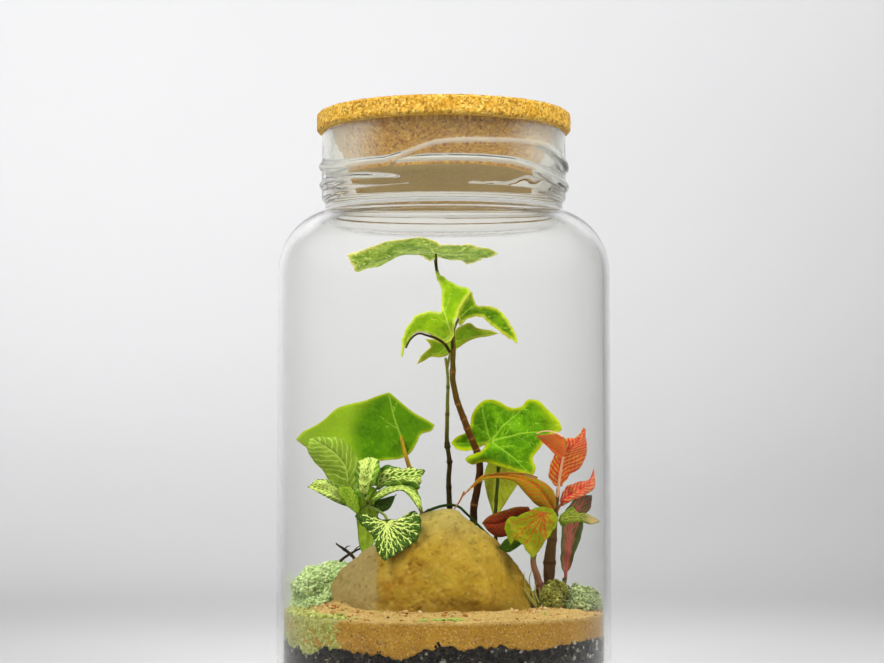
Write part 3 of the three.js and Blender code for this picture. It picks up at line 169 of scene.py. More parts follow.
def grid(nu, nv, wrap=False):
    """Quads of a grid of nu rows by nv columns, columns wrapping round if asked."""
    i, j = np.meshgrid(np.arange(nu - 1), np.arange(nv if wrap else nv - 1), indexing="ij")
    a = i * nv + j; b = i * nv + (j + 1) % nv
    return np.stack([a, b, b + nv, a + nv], -1).reshape(-1, 4)

def tidy(V, T, cols=()):
    """Merge coincident points and drop empty triangles."""
    key = np.round(V * 1000).astype(np.int64)
    _, first, inv = np.unique(key, axis=0, return_index=True, return_inverse=True); inv = inv.ravel()
    T = inv[T]; T = T[(T[:, 0] != T[:, 1]) & (T[:, 1] != T[:, 2]) & (T[:, 0] != T[:, 2])]
    return V[first], T, [c[first] for c in cols]

def thicken(V, T, t, cols):
    """An open sheet of thickness t (per point) becomes closed."""
    N = vnormals(V, T); n = len(V); t = np.broadcast_to(t, (n,))[:, None]
    e = np.vstack([T[:, [0, 1]], T[:, [1, 2]], T[:, [2, 0]]])
    have = set(map(tuple, e.tolist())); rim = np.array([(a, b) for a, b in e.tolist() if (b, a) not in have])
    R = np.vstack([np.stack([rim[:, 1], rim[:, 0], rim[:, 0] + n], 1), np.stack([rim[:, 1], rim[:, 0] + n, rim[:, 1] + n], 1)])
    return np.vstack([V + N * t / 2, V - N * t / 2]), np.vstack([T, T[:, [0, 2, 1]] + n, R]), [np.concatenate([c, c]) for c in cols]

def tube(path, rad, sides=12, twist=0.0):
    """A closed tube with rounded ends: points, triangles, and the place along it from 0 to 1."""
    P = np.asarray(path, float); n = len(P); T = unit(np.gradient(P, axis=0))
    a = np.cross(T[0], [0, 1, 0.3]); a = unit(a); rings = []
    s = np.r_[0, np.cumsum(np.linalg.norm(np.diff(P, axis=0), axis=1))]; s /= s[-1]
    rad = np.broadcast_to(rad, (n,))
    th = np.linspace(0, 2 * np.pi, sides, endpoint=False)
    for i in range(n):
        a = unit(a - T[i] * (a @ T[i])); b = np.cross(T[i], a)
        rings.append(P[i] + rad[i] * (np.cos(th)[:, None] * a + np.sin(th)[:, None] * b))
    V = np.vstack(rings); F = tris(grid(n, sides, True)); m = len(V)
    V = np.vstack([V, P[0] - T[0] * rad[0] * 0.5, P[-1] + T[-1] * rad[-1] * 0.6])
    j = np.arange(sides); k = (j + 1) % sides
    F = np.vstack([F, np.stack([np.full(sides, m), k, j], 1), np.stack([np.full(sides, m + 1), (n - 1) * sides + j, (n - 1) * sides + k], 1)])
    return V, F, np.r_[np.repeat(s, sides), 0.0, 1.0]

def outward(V, T):
    v = np.einsum("ij,ij->i", V[T[:, 0]], np.cross(V[T[:, 1]], V[T[:, 2]])).sum()
    return T if v > 0 else T[:, [0, 2, 1]]

def join(parts):
    """parts: (V, T, [columns]) in order."""
    V, T, C, o = [], [], [], 0
    for v, t, c in parts:
        V.append(v); T.append(t + o); C.append(c); o += len(v)
    return np.vstack(V), np.vstack(T), [np.concatenate([c[k] for c in C]) for k in range(len(C[0]))]

def piece(name, V, T, mat, nodes=(), cols=None, smooth=True, stage=False, sharp=None):
    me = bpy.data.meshes.new(name); V = np.asarray(V, float); T = np.asarray(T, np.int32)
    me.vertices.add(len(V)); me.vertices.foreach_set("co", (V * MM).astype(np.float32).ravel())
    me.loops.add(T.size); me.loops.foreach_set("vertex_index", T.ravel())
    me.polygons.add(len(T)); me.polygons.foreach_set("loop_start", np.arange(0, T.size, T.shape[1], dtype=np.int32))
    me.update(calc_edges=True); me.validate()
    if smooth: me.polygons.foreach_set("use_smooth", np.ones(len(me.polygons), bool))
    for key, c in (cols or {}).items():
        at = me.color_attributes.new(key, "FLOAT_COLOR", "POINT")
        c = np.asarray(c, np.float32)
        if c.ndim == 1: c = np.stack([c, c, c, np.ones_like(c)], 1)
        at.data.foreach_set("color", c.ravel())
    if sharp: me.set_sharp_from_angle(angle=math.radians(sharp))
    ob = bpy.data.objects.new(name, me); bpy.context.scene.collection.objects.link(ob)
    if mat: me.materials.append(mat)
    if stage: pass
    else:
        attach(ob, "root")
        if nodes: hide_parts(*nodes)
    return ob

# ------------------------------------------------------------------ shader helpers
class Mat:
    def __init__(self, name):
        self.m = bpy.data.materials.new(name); self.m.use_nodes = True
        self.t = self.m.node_tree; self.t.nodes.clear()
        self.out = self.t.nodes.new("ShaderNodeOutputMaterial")
        self.b = self.t.nodes.new("ShaderNodeBsdfPrincipled")
        self.t.links.new(self.b.outputs[0], self.out.inputs[0])
        self.co = None
    def n(self, kind, **k):
        x = self.t.nodes.new("ShaderNode" + kind)
        for a, v in k.items(): setattr(x, a, v)
        return x
    def link(self, a, b): self.t.links.new(a, b)
    def put(self, sock, v):
        if isinstance(v, (int, float)): sock.default_value = v
        elif isinstance(v, tuple): sock.default_value = v
        else: self.link(v, sock)
    def coord(self):
        if self.co is None: self.co = self.n("TexCoord").outputs["Object"]
        return self.co
    def noise(self, mm, detail=3.0, rough=0.55, distort=0.0, stretch=None):
        x = self.n("TexNoise"); x.inputs["Scale"].default_value = 1000.0 / mm
        x.inputs["Detail"].default_value = detail; x.inputs["Roughness"].default_value = rough; x.inputs["Distortion"].default_value = distort
        v = self.coord()
        if stretch:
            mp = self.n("Mapping"); mp.inputs["Scale"].default_value = stretch; self.link(v, mp.inputs["Vector"]); v = mp.outputs[0]
        self.link(v, x.inputs["Vector"]); return x.outputs["Fac"]
    def voronoi(self, mm, feature="F1", random=1.0, warp=0.0, stretch=None):
        x = self.n("TexVoronoi", feature=feature); x.inputs["Scale"].default_value = 1000.0 / mm; x.inputs["Randomness"].default_value = random
        v = self.coord()
        if stretch:
            mp = self.n("Mapping"); mp.inputs["Scale"].default_value = stretch; self.link(v, mp.inputs["Vector"]); v = mp.outputs[0]
        if warp:
            nz = self.n("TexNoise"); nz.inputs["Scale"].default_value = 700.0 / mm; self.link(v, nz.inputs["Vector"])
            mx = self.n("VectorMath", operation="MULTIPLY_ADD"); self.link(nz.outputs["Color"], mx.inputs[0]); mx.inputs[1].default_value = (warp * MM,) * 3; self.link(v, mx.inputs[2]); v = mx.outputs[0]
        self.link(v, x.inputs["Vector"]); return x
    def attr(self, name, ch=None):
        a = self.n("Attribute", attribute_name=name)
        if ch is None: return a.outputs["Color"]
        if ch == "A": return a.outputs["Alpha"]
        s = self.n("SeparateColor"); self.link(a.outputs["Color"], s.inputs[0]); return s.outputs["RGB".index(ch)]
    def ramp(self, fac, stops, interp="LINEAR"):
        r = self.n("ValToRGB"); r.color_ramp.interpolation = interp; el = r.color_ramp.elements
        while len(el) > 1: el.remove(el[-1])
        for i, (p, c) in enumerate(stops):
            e = el[0] if i == 0 else el.new(p)
            e.position = p; e.color = c if len(c) == 4 else (*c, 1)
        self.put(r.inputs[0], fac); return r.outputs[0]
    def mix(self, f, a, b, blend="MIX"):
        x = self.n("Mix", data_type="RGBA", blend_type=blend); x.clamp_factor = True
        self.put(x.inputs[0], f); self.put(x.inputs[6], a); self.put(x.inputs[7], b); return x.outputs[2]
    def math(self, op, a, b=0.0, c=None, clamp=False):
        x = self.n("Math", operation=op, use_clamp=clamp); self.put(x.inputs[0], a); self.put(x.inputs[1], b)
        if c is not None: self.put(x.inputs[2], c)
        return x.outputs[0]
    def step(self, v, lo, hi, smooth=True):
        x = self.n("MapRange", clamp=True); x.interpolation_type = "SMOOTHSTEP" if smooth else "LINEAR"
        self.put(x.inputs[0], v); x.inputs[1].default_value = lo; x.inputs[2].default_value = hi; return x.outputs[0]
    def shade(self, c, fac, lo, hi):
        """Brightness varies with fac from lo to hi times."""
        return self.mix(1.0, c, self.mix(fac, (lo, lo, lo, 1), (hi, hi, hi, 1)), "MULTIPLY")
    def xyz(self):
        s = self.n("SeparateXYZ"); self.link(self.coord(), s.inputs[0]); return s.outputs
    def bump(self, h, mm, strength=1.0, normal=None):
        x = self.n("Bump"); x.inputs["Strength"].default_value = strength; x.inputs["Distance"].default_value = mm * MM
        self.put(x.inputs["Height"], h)
        if normal is not None: self.link(normal, x.inputs["Normal"])
        return x.outputs[0]
    def done(self, color, rough, normal=None, spec=0.5, coat=0.0):
        self.put(self.b.inputs["Base Color"], color); self.put(self.b.inputs["Roughness"], rough)
        self.b.inputs["Specular IOR Level"].default_value = spec
        if coat: self.b.inputs["Coat Weight"].default_value = coat; self.b.inputs["Coat Roughness"].default_value = 0.25
        if normal is not None: self.link(normal, self.b.inputs["Normal"])
        return self.m

# ------------------------------------------------------------------ glass jar
def ridge(phi, z, pts, fade=(0, 0), height=1.75, width=2.15):
    """A raised thread run: its height over the neck at angle phi (degrees from the front towards +X)."""
    a = np.array([p[0] for p in pts]); b = np.array([p[1] for p in pts]); c = np.interp(phi, a, b); w = ((phi >= a[0]) & (phi < a[-1])).astype(float)
    if fade[0]: w = w * np.clip((phi - a[0]) / fade[0], 0, 1)
    if fade[1]: w = w * np.clip((a[-1] - phi) / fade[1], 0, 1)
    return height * w * w * (3 - 2 * w) * np.exp(-np.abs((z - c) / width) ** 2.8)

def jar():
    oval = lambda t, a, b: (SHOULDER_R + a * math.cos(math.radians(t)), BODY_TOP + b * math.sin(math.radians(t)))
    arc = lambda cx, cz, r, a0, a1, n: [(cx + r * math.cos(math.radians(a)), cz + r * math.sin(math.radians(a))) for a in np.linspace(a0, a1, n)]
    P = [(0, 2.2), (20, 2.1), (40, 1.7), (56, 1.1), (58.5, 0.5), (60, 0.05), (61, 0), (68, 0), (75, 0)]
    P += arc(75, 10, 10, -86, 0, 12)
    P += [(JAR_R, z) for z in np.linspace(14, BODY_TOP - 3, 12)]
    P += [oval(t, 28, SHOULDER_H) for t in np.linspace(0, 74, 26)]
    P += [(63.6, 248.4), (62.4, 249.0), (61.6, 249.8), (61.2, 250.8), (61.0, 251.8), (61.0, 252.8), (61.15, 253.7), (61.6, 254.5), (62.2, 255.1), (62.6, 255.6)]
    P += [(62.7, z) for z in np.arange(256.0, 282.81, 0.42)]
    P += [(62.7, 284.5), (62.7, 286)] + arc(61.0, 288.3, 1.7, 0, 90, 6) + [(60.2, 290.0)] + arc(59.2, 288.3, 1.7, 95, 180, 6)
    P += [(MOUTH, z) for MOUTH in (57.5,) for z in np.linspace(286, 254, 10)]
    P += [(57.6, 251.5), (57.9, 249.4), (58.5, 247.6), (59.5, 246.2)]
    P += [oval(t, 24.5, 28.3) for t in np.linspace(80, 0, 26)]
    P += [(JAR_R - WALL, z) for z in np.linspace(BODY_TOP - 3, 16, 12)]
    P += arc(73.5, 14, 8, 0, -90, 10) + [(60, 6.1), (40, 6.5), (20, 6.8), (0, 6.9)]
    P = np.array(P); n = 204; ph = np.linspace(0, 360, n, endpoint=False)
    R = np.repeat(P[:, 0:1], n, 1); Z = np.repeat(P[:, 1:2], n, 1); PH = np.repeat(ph[None], len(P), 0)
    outer = (P[:, 0] > 62.65) & (P[:, 1] > 255.9) & (P[:, 1] < 283)
    one = [(-180, 272.0), (-120, 273.0), (-90, 273.2), (-77, 271.0), (-60, 268.3), (-47, 268.0), (-27, 268.0), (-20, 269.7), (-10, 274.2), (-4, 276.2), (2, 277.0), (16, 277.8), (36, 278.6), (48, 278.9), (56, 277.3), (64, 275.2), (80, 272.6), (90, 271.8), (135, 272.0), (180.1, 272.0)]
    two = [(-27, 266.6), (-20, 267.6), (-12, 268.0), (0, 268.2), (16, 268.3), (31, 267.9), (42, 266.5), (48.5, 265.3), (61, 263.1), (70, 261.9), (90, 262.0), (135, 262.3), (180, 262.6)]
    three = [(180, 262.6), (225, 262.9), (270, 263.0), (296, 261.4), (309, 261.4), (316, 261.2), (328, 260.0), (344, 258.6)]
    A = np.where(PH > 180, PH - 360, PH).ravel(); z1 = Z.ravel()
    d = np.maximum(ridge(A, z1, one), np.maximum(ridge(A, z1, two, (7, 0)), ridge(PH.ravel(), z1, three, (0, 24), 1.35, 1.8)))
    d = d + 0.10 * wob(np.stack([R.ravel() * np.sin(np.radians(PH.ravel())), R.ravel() * np.cos(np.radians(PH.ravel())), z1], 1), 11, 61, 2)
    d = np.where(outer[:, None], d.reshape(R.shape), 0); R = R + d
    # the glass is blown; only the neck's threaded band is made a little uneven, above
    a = np.radians(PH); X = R * np.sin(a); Y = -R * np.cos(a)
    V = np.stack([X, Y, Z], -1).reshape(-1, 3)
    T = tris(grid(len(P), n, True)); V, T, (crest,) = tidy(V, T, [np.clip(d / 1.75, 0, 1).ravel()]); T = outward(V, T)
    m = Mat("clear_glass"); b = m.b
    b.inputs["Transmission Weight"].default_value = 1.0; b.inputs["IOR"].default_value = 1.40
    nz = m.noise(60, 2.0)
    neck = m.step(m.xyz()[2], 0.2440, 0.2540)
    m.put(b.inputs["Base Color"], m.mix(neck, m.mix(nz, (0.966, 0.970, 0.952, 1), (0.984, 0.984, 0.968, 1)), m.mix(nz, (0.885, 0.868, 0.800, 1), (0.915, 0.905, 0.850, 1))))
    m.put(b.inputs["Roughness"], m.step(m.noise(25, 3.0), 0.3, 4.5))
    m.put(b.inputs["Specular Tint"], m.mix(neck, (0.45, 0.45, 0.45, 1), (1.0, 1.0, 1.0, 1)))
    lp = m.n("LightPath"); tr = m.n("BsdfTransparent"); tr.inputs[0].default_value = (0.975, 0.985, 0.98, 1)
    # painted reflection: a milky white diffuse is mixed into the glass on the thread crests and in soft bands on the
    # front flanks of the neck, standing in for highlights of the studio lights
    painted_reflection_white = m.n("BsdfDiffuse"); painted_reflection_white.inputs[0].default_value = (0.86, 0.90, 0.84, 1); painted_reflection_mix = m.n("MixShader"); x, y, z = m.xyz()[:3]; zone = m.math("MULTIPLY", m.step(m.math("SUBTRACT", 0.0, y), 0.004, 0.030), m.math("MULTIPLY", m.step(z, 0.262, 0.272), m.math("SUBTRACT", 1.0, m.step(z, 0.2875, 0.2895)))); flank = m.math("ADD", 0.03, m.math("MULTIPLY", m.step(m.math("ADD", m.math("ABSOLUTE", x), m.math("MULTIPLY", m.noise(14, 3), 0.012)), 0.034, 0.054), 0.19)); m.put(painted_reflection_mix.inputs[0], m.math("MAXIMUM", m.math("MULTIPLY", m.step(m.attr("crest", "R"), 0.45, 1.0), 0.30), m.math("MULTIPLY", zone, m.math("MULTIPLY", flank, m.math("ADD", 0.55, m.math("MULTIPLY", m.noise(9, 3), 0.8)))))); m.link(b.outputs[0], painted_reflection_mix.inputs[1]); m.link(painted_reflection_white.outputs[0], painted_reflection_mix.inputs[2])
    mx = m.n("MixShader"); m.link(lp.outputs["Is Shadow Ray"], mx.inputs[0]); m.link(painted_reflection_mix.outputs[0], mx.inputs[1]); m.link(tr.outputs[0], mx.inputs[2])
    my = m.n("MixShader"); m.link(lp.outputs["Is Diffuse Ray"], my.inputs[0]); m.link(mx.outputs[0], my.inputs[1]); m.link(tr.outputs[0], my.inputs[2])
    m.link(my.outputs[0], m.out.inputs[0])
    return piece("glass_jar_blown", V, T, m.m, ["glass_jar"], {"crest": crest})
jar()

# ------------------------------------------------------------------ cork lid
def cork():
    P = [(0, 270.4), (30, 270.4), (45, 270.4)] + [(47.9 + 1.4 * math.sin(a), 271.8 - 1.4 * math.cos(a)) for a in np.linspace(0, math.pi / 2, 6)]
    P += [(49.3 + 7.7 * k, 272.0 + 15.5 * k) for k in np.linspace(0.04, 1, 13)] + [(57.0, 288.6), (57.0, 290.0), (57.3, 290.3), (58.5, 290.3), (61, 290.3)]
    P += [(63.6 + 1.8 * math.sin(a), 292.1 - 1.8 * math.cos(a)) for a in np.linspace(0, math.pi / 2, 8)]
    P += [(65.4, z) for z in np.linspace(292.8, 297.6, 10)]
    P += [(63.4 + 2.0 * math.cos(a), 298.0 + 2.0 * math.sin(a)) for a in np.linspace(0, math.pi / 2, 8)]
    P += [(r, 300.0) for r in np.linspace(62, 1, 48)] + [(0, 300.0)]
    P = np.array(P); n = 230; ph = np.linspace(0, 2 * np.pi, n, endpoint=False)
    V = np.stack([P[:, 0:1] * np.sin(ph), -P[:, 0:1] * np.cos(ph), np.repeat(P[:, 1:2], n, 1)], -1).reshape(-1, 3)
    T = tris(grid(len(P), n, True)); V, T, _ = tidy(V, T); T = outward(V, T)
    N = vnormals(V, T); amp = np.where((V[:, 2] > 290.6), 0.22, 0.06)
    V = V + N * ((wob(V, 2.3, 5, 2) * 1.0 - 0.6) * amp)[:, None]
    V[:, 2] = np.minimum(V[:, 2], 300.0)
    m = Mat("granulated_cork")
    g = m.voronoi(2.3, warp=1.5); fine = m.voronoi(1.15, warp=0.8); edge = m.voronoi(2.3, "DISTANCE_TO_EDGE", warp=1.5); dot = m.voronoi(0.95, warp=0.7)
    tone = m.n("SeparateColor"); m.link(g.outputs["Color"], tone.inputs[0])
    tone2 = m.n("SeparateColor"); m.link(fine.outputs["Color"], tone2.inputs[0]); tone3 = m.n("SeparateColor"); m.link(dot.outputs["Color"], tone3.inputs[0])
    c = m.ramp(tone.outputs[0], [(0.0, lin(188, 124, 34)), (0.3, lin(216, 154, 52)), (0.65, lin(230, 176, 72)), (1.0, lin(244, 202, 106))])
    c2 = m.ramp(tone2.outputs[1], [(0.0, lin(142, 84, 22)), (0.16, lin(196, 132, 42)), (0.6, lin(226, 170, 64)), (1.0, lin(250, 212, 122))])
    c = m.mix(0.6, c, c2)
    dark = m.step(tone2.outputs[2], 0.86, 0.93); c = m.mix(m.math("MULTIPLY", dark, 0.72), c, lin(112, 60, 14))
    dark = m.step(tone3.outputs[0], 0.84, 0.92); c = m.mix(m.math("MULTIPLY", dark, 0.60), c, lin(128, 70, 16))
    dark = m.step(tone3.outputs[1], 0.88, 0.95); c = m.mix(m.math("MULTIPLY", dark, 0.55), c, lin(255, 226, 150))
    seam = m.step(edge.outputs["Distance"], 0.0, 0.10); c = m.mix(m.math("MULTIPLY", m.math("SUBTRACT", 1.0, seam), 0.26), c, lin(140, 84, 26))
    c = m.mix(m.math("MULTIPLY", m.noise(18, 3), 0.3), c, lin(226, 166, 64)); c = m.shade(c, m.noise(1.0, 3, 0.7), 0.84, 1.42); c = m.mix(1.0, c, (0.98, 1.07, 0.90, 1), "MULTIPLY")
    # painted shade: the plug below the lid is darkened, standing in for the shadow inside the neck
    c = m.mix(m.math("SUBTRACT", 1.0, m.step(m.xyz()[2], 0.2880, 0.2900)), c, m.mix(1.0, c, (0.86, 0.75, 0.68, 1), "MULTIPLY"))
    c = m.mix(m.math("MULTIPLY", m.math("SUBTRACT", 1.0, m.step(m.xyz()[2], 0.2705, 0.2716)), 0.55), c, lin(206, 188, 146))
    c = m.mix(m.step(m.xyz()[2], 0.2988, 0.2999), c, m.mix(1.0, c, (0.62, 0.58, 0.66, 1), "MULTIPLY"))
    h = m.math("ADD", m.math("MULTIPLY", seam, 0.5), m.math("MULTIPLY", m.noise(0.9, 4), 0.8))
    mat = m.done(c, m.step(m.noise(2), -0.4, 1.2), m.bump(h, 0.4, 0.9), spec=0.25)
    ob = piece("cork_lid_grain", V, T, mat, ["cork_lid"])
cork()

# ------------------------------------------------------------------ stone
def stone_reach():
    q = [(math.atan2(z - STONE_C[2], x - STONE_C[0]), math.hypot(x - STONE_C[0], z - STONE_C[2])) for x, z in STONE_OUT]
    q.sort(); a = np.array([v[0] for v in q]); r = np.array([v[1] for v in q])
    a = np.r_[a - 2 * np.pi, a, a + 2 * np.pi]; r = np.r_[r, r, r]
    t = np.linspace(-np.pi, np.pi, 721); f = np.interp(t, a, r)
    k = np.hanning(15); k /= k.sum(); g = np.convolve(np.r_[f[-21:-1], f, f[1:21]], k, "same")[20:-20]
    return lambda x: np.interp(x, t, 0.6 * f + 0.4 * g)
REACH = stone_reach()

def ico(level):
    bm = bmesh.new(); bmesh.ops.create_icosphere(bm, subdivisions=level, radius=1.0)
    V = np.array([v.co[:] for v in bm.verts]); T = np.array([[v.index for v in f.verts] for f in bm.faces]); bm.free()
    return V, T

def stone_surface(D, grow=0.0):
    a = np.arctan2(D[:, 2], D[:, 0]); c = np.hypot(D[:, 0], D[:, 2])
    k = (c ** 2.4 + np.abs(D[:, 1]) ** 2.4) ** (-1 / 2.4)
    half = np.where(D[:, 1] > 0, 26 - 12 * np.maximum(0, -np.cos(a)), 33.0) + grow; rr = REACH(a) + grow
    return np.stack([STONE_C[0] + c * k * rr * np.cos(a), STONE_C[1] + D[:, 1] * k * half, STONE_C[2] + c * k * rr * np.sin(a)], 1)

def stone():
    D, T = ico(7); P = stone_surface(D)
    # broken faces: planes that shave the body
    for n, d in [((-0.62, -0.74, 0.27), 33.2), ((0.30, -0.86, 0.42), 28.5), ((-0.05, -0.80, 0.60), 30.0), ((0.72, -0.60, 0.35), 34.5),
                 ((0.35, 0.88, 0.32), 22.5), ((-0.45, 0.80, 0.40), 19.5), ((-0.25, -0.95, 0.10), 31.0)]:
        n = unit(n); s = (P - STONE_C) @ n - d; P = P - np.where(s > 0, s * 0.8, 0)[:, None] * n
    N = vnormals(P, T)
    h = 0.9 * wob(P, 24, 11, 2) + 0.42 * wob(P, 7.5, 12, 3) + 0.16 * wob(P, 2.4, 13, 2)
    pit = np.maximum(0, wob(P, 5.5, 14, 2) - 0.55) * -1.1
    P = P + N * (h + pit - 0.55)[:, None]; P[:, 2] = np.maximum(P[:, 2], 37.0)
    m = Mat("weathered_stone"); x, y, z = m.xyz()
    big = m.noise(34, 4, 0.6, 0.6); mid = m.noise(11, 5, 0.62, 0.4); fine = m.noise(1.7, 4, 0.7); speck = m.voronoi(1.6, warp=0.9)
    c = m.ramp(big, [(0.32, lin(136, 100, 22)), (0.45, lin(168, 134, 38)), (0.58, lin(186, 154, 58)), (0.75, lin(198, 172, 84))])
    rust = m.step(mid, 0.50, 0.68); c = m.mix(m.math("MULTIPLY", rust, 0.55), c, lin(140, 92, 12))
    olive = m.step(m.noise(15, 4, 0.6, 0.3), 0.54, 0.68); c = m.mix(m.math("MULTIPLY", olive, 0.45), c, lin(140, 122, 34))
    pale = m.step(m.noise(8, 5, 0.65), 0.55, 0.75); c = m.mix(m.math("MULTIPLY", pale, 0.30), c, lin(202, 176, 96))
    # painted light: the upper part is mixed towards a pale cream, a painted highlight where the light falls from above
    top = m.step(z, 0.076, 0.097); c = m.mix(m.math("MULTIPLY", top, 0.75), c, m.mix(mid, lin(172, 154, 72), lin(208, 192, 116)))
    edge = m.math("ADD", x, m.math("MULTIPLY", m.noise(9, 3), 0.005)); left = m.math("SUBTRACT", 1.0, m.step(edge, -0.0325, -0.0285))
    c = m.mix(m.math("MULTIPLY", left, 0.88), c, m.mix(mid, lin(150, 128, 78), lin(188, 168, 112)))
    gold = m.math("MULTIPLY", m.step(edge, -0.0300, -0.0265), m.math("SUBTRACT", 1.0, m.step(edge, -0.016, -0.004))); c = m.mix(m.math("MULTIPLY", m.math("MULTIPLY", gold, m.step(mid, 0.36, 0.62)), 0.6), c, lin(146, 96, 10))
    low = m.math("SUBTRACT", 1.0, m.step(z, 0.046, 0.062)); c = m.mix(m.math("MULTIPLY", low, 0.40), c, lin(138, 112, 46))
    s = m.n("SeparateColor"); m.link(speck.outputs["Color"], s.inputs[0])
    c = m.mix(m.math("MULTIPLY", m.step(s.outputs[0], 0.90, 0.97), 0.35), c, lin(96, 66, 14))
    c = m.mix(m.math("MULTIPLY", m.step(s.outputs[1], 0.93, 0.98), 0.20), c, lin(210, 186, 110))
    c = m.shade(c, fine, 0.64, 1.12)
    h = m.math("ADD", m.math("MULTIPLY", fine, 0.7), m.math("MULTIPLY", mid, 0.9))
    mat = m.done(c, m.step(fine, -0.9, 1.3), m.bump(h, 0.8, 0.7), spec=0.2)
    piece("stone_weathered", P, T, mat, ["stone"])
stone()

# ------------------------------------------------------------------ beds
BOUND = [(-82, 38.5), (-75.8, 37.2), (-70, 33.0), (-65, 31), (-58, 32.4), (-53.6, 33.2), (-49, 32.0), (-46.8, 30.8), (-41, 31.2), (-36, 29.8), (-30, 30.2), (-25.3, 29.2), (-20, 28.6), (-17, 28.8), (-13, 30.6), (-9.4, 32.8), (-4, 33.4), (0, 34.8), (3.5, 34.2), (8.5, 32.0),
         (12, 32.6), (17, 34.1), (20, 33.0), (26.5, 34.6), (30, 33.2), (37, 31.8), (45, 32.2), (49, 31.4), (54, 33.3), (60, 33.6), (67, 34.4), (75, 34.8), (82, 33.0)]
def boundary(a):
    """Height of the joint between sand and soil at the glass; a is the angle from the front towards +X, radians."""
    front = np.interp(82 * np.sin(a), [b[0] for b in BOUND], [b[1] for b in BOUND])
    P = np.stack([81 * np.sin(a), -81 * np.cos(a), np.zeros_like(a)], 1)
    rest = 32.2 + 2.3 * wob(P, 26, 31, 2)
    f = np.clip((np.cos(a) + 0.05) / 0.3, 0, 1)
    return front * f + rest * (1 - f) + 0.75 * wob(P, 5.0, 32, 2) + 0.5 * wob(P, 1.9, 33)

def low_moss(a, z):
    """How strongly the low moss patch covers the glass at angle a, height z."""
    x = np.degrees(a); u = (x + 56) / 17.0; v = (z - 37.5) / 7.5
    P = np.stack([x, z * 1.0, 0 * x], -1).reshape(-1, 3)
    return np.clip(1.35 - np.hypot(u, v) + 0.42 * wob(P, 7, 41, 2).reshape(np.shape(x)), 0, 1)

def sand_top(x, y):
    P = np.stack([x, y, 0 * x], 1); r = np.hypot(x, y)
    d = np.maximum(0, np.hypot((x + 6) / 56, (y + 2) / 40) - 1)
    up = 1.2 * np.exp(-(d / 0.16) ** 2) + 6.2 * np.exp(-((x + 50) / 12) ** 2 - ((y + 4) / 15) ** 2) + 1.2 * np.exp(-((x - 60) / 12) ** 2 - ((y + 12) / 16) ** 2)
    return 46.0 + up + 0.55 * wob(P, 17, 21, 2) + 0.28 * wob(P, 4.2, 22, 2) + 0.13 * wob(P, 1.6, 23) - 0.3 * (r > 79)

def top_moss(x, y):
    """How strongly the moss creeps over the top of the sand beside the glass."""
    d = np.degrees(np.arctan2(x, -y)); r = np.hypot(x, y); P = np.stack([x, y, 0 * x], 1)
    return np.clip((r - 64) / 9, 0, 1) * np.clip(1.45 - np.abs(d + 66) / 24 + 0.45 * wob(P, 6, 43, 2), 0, 1)

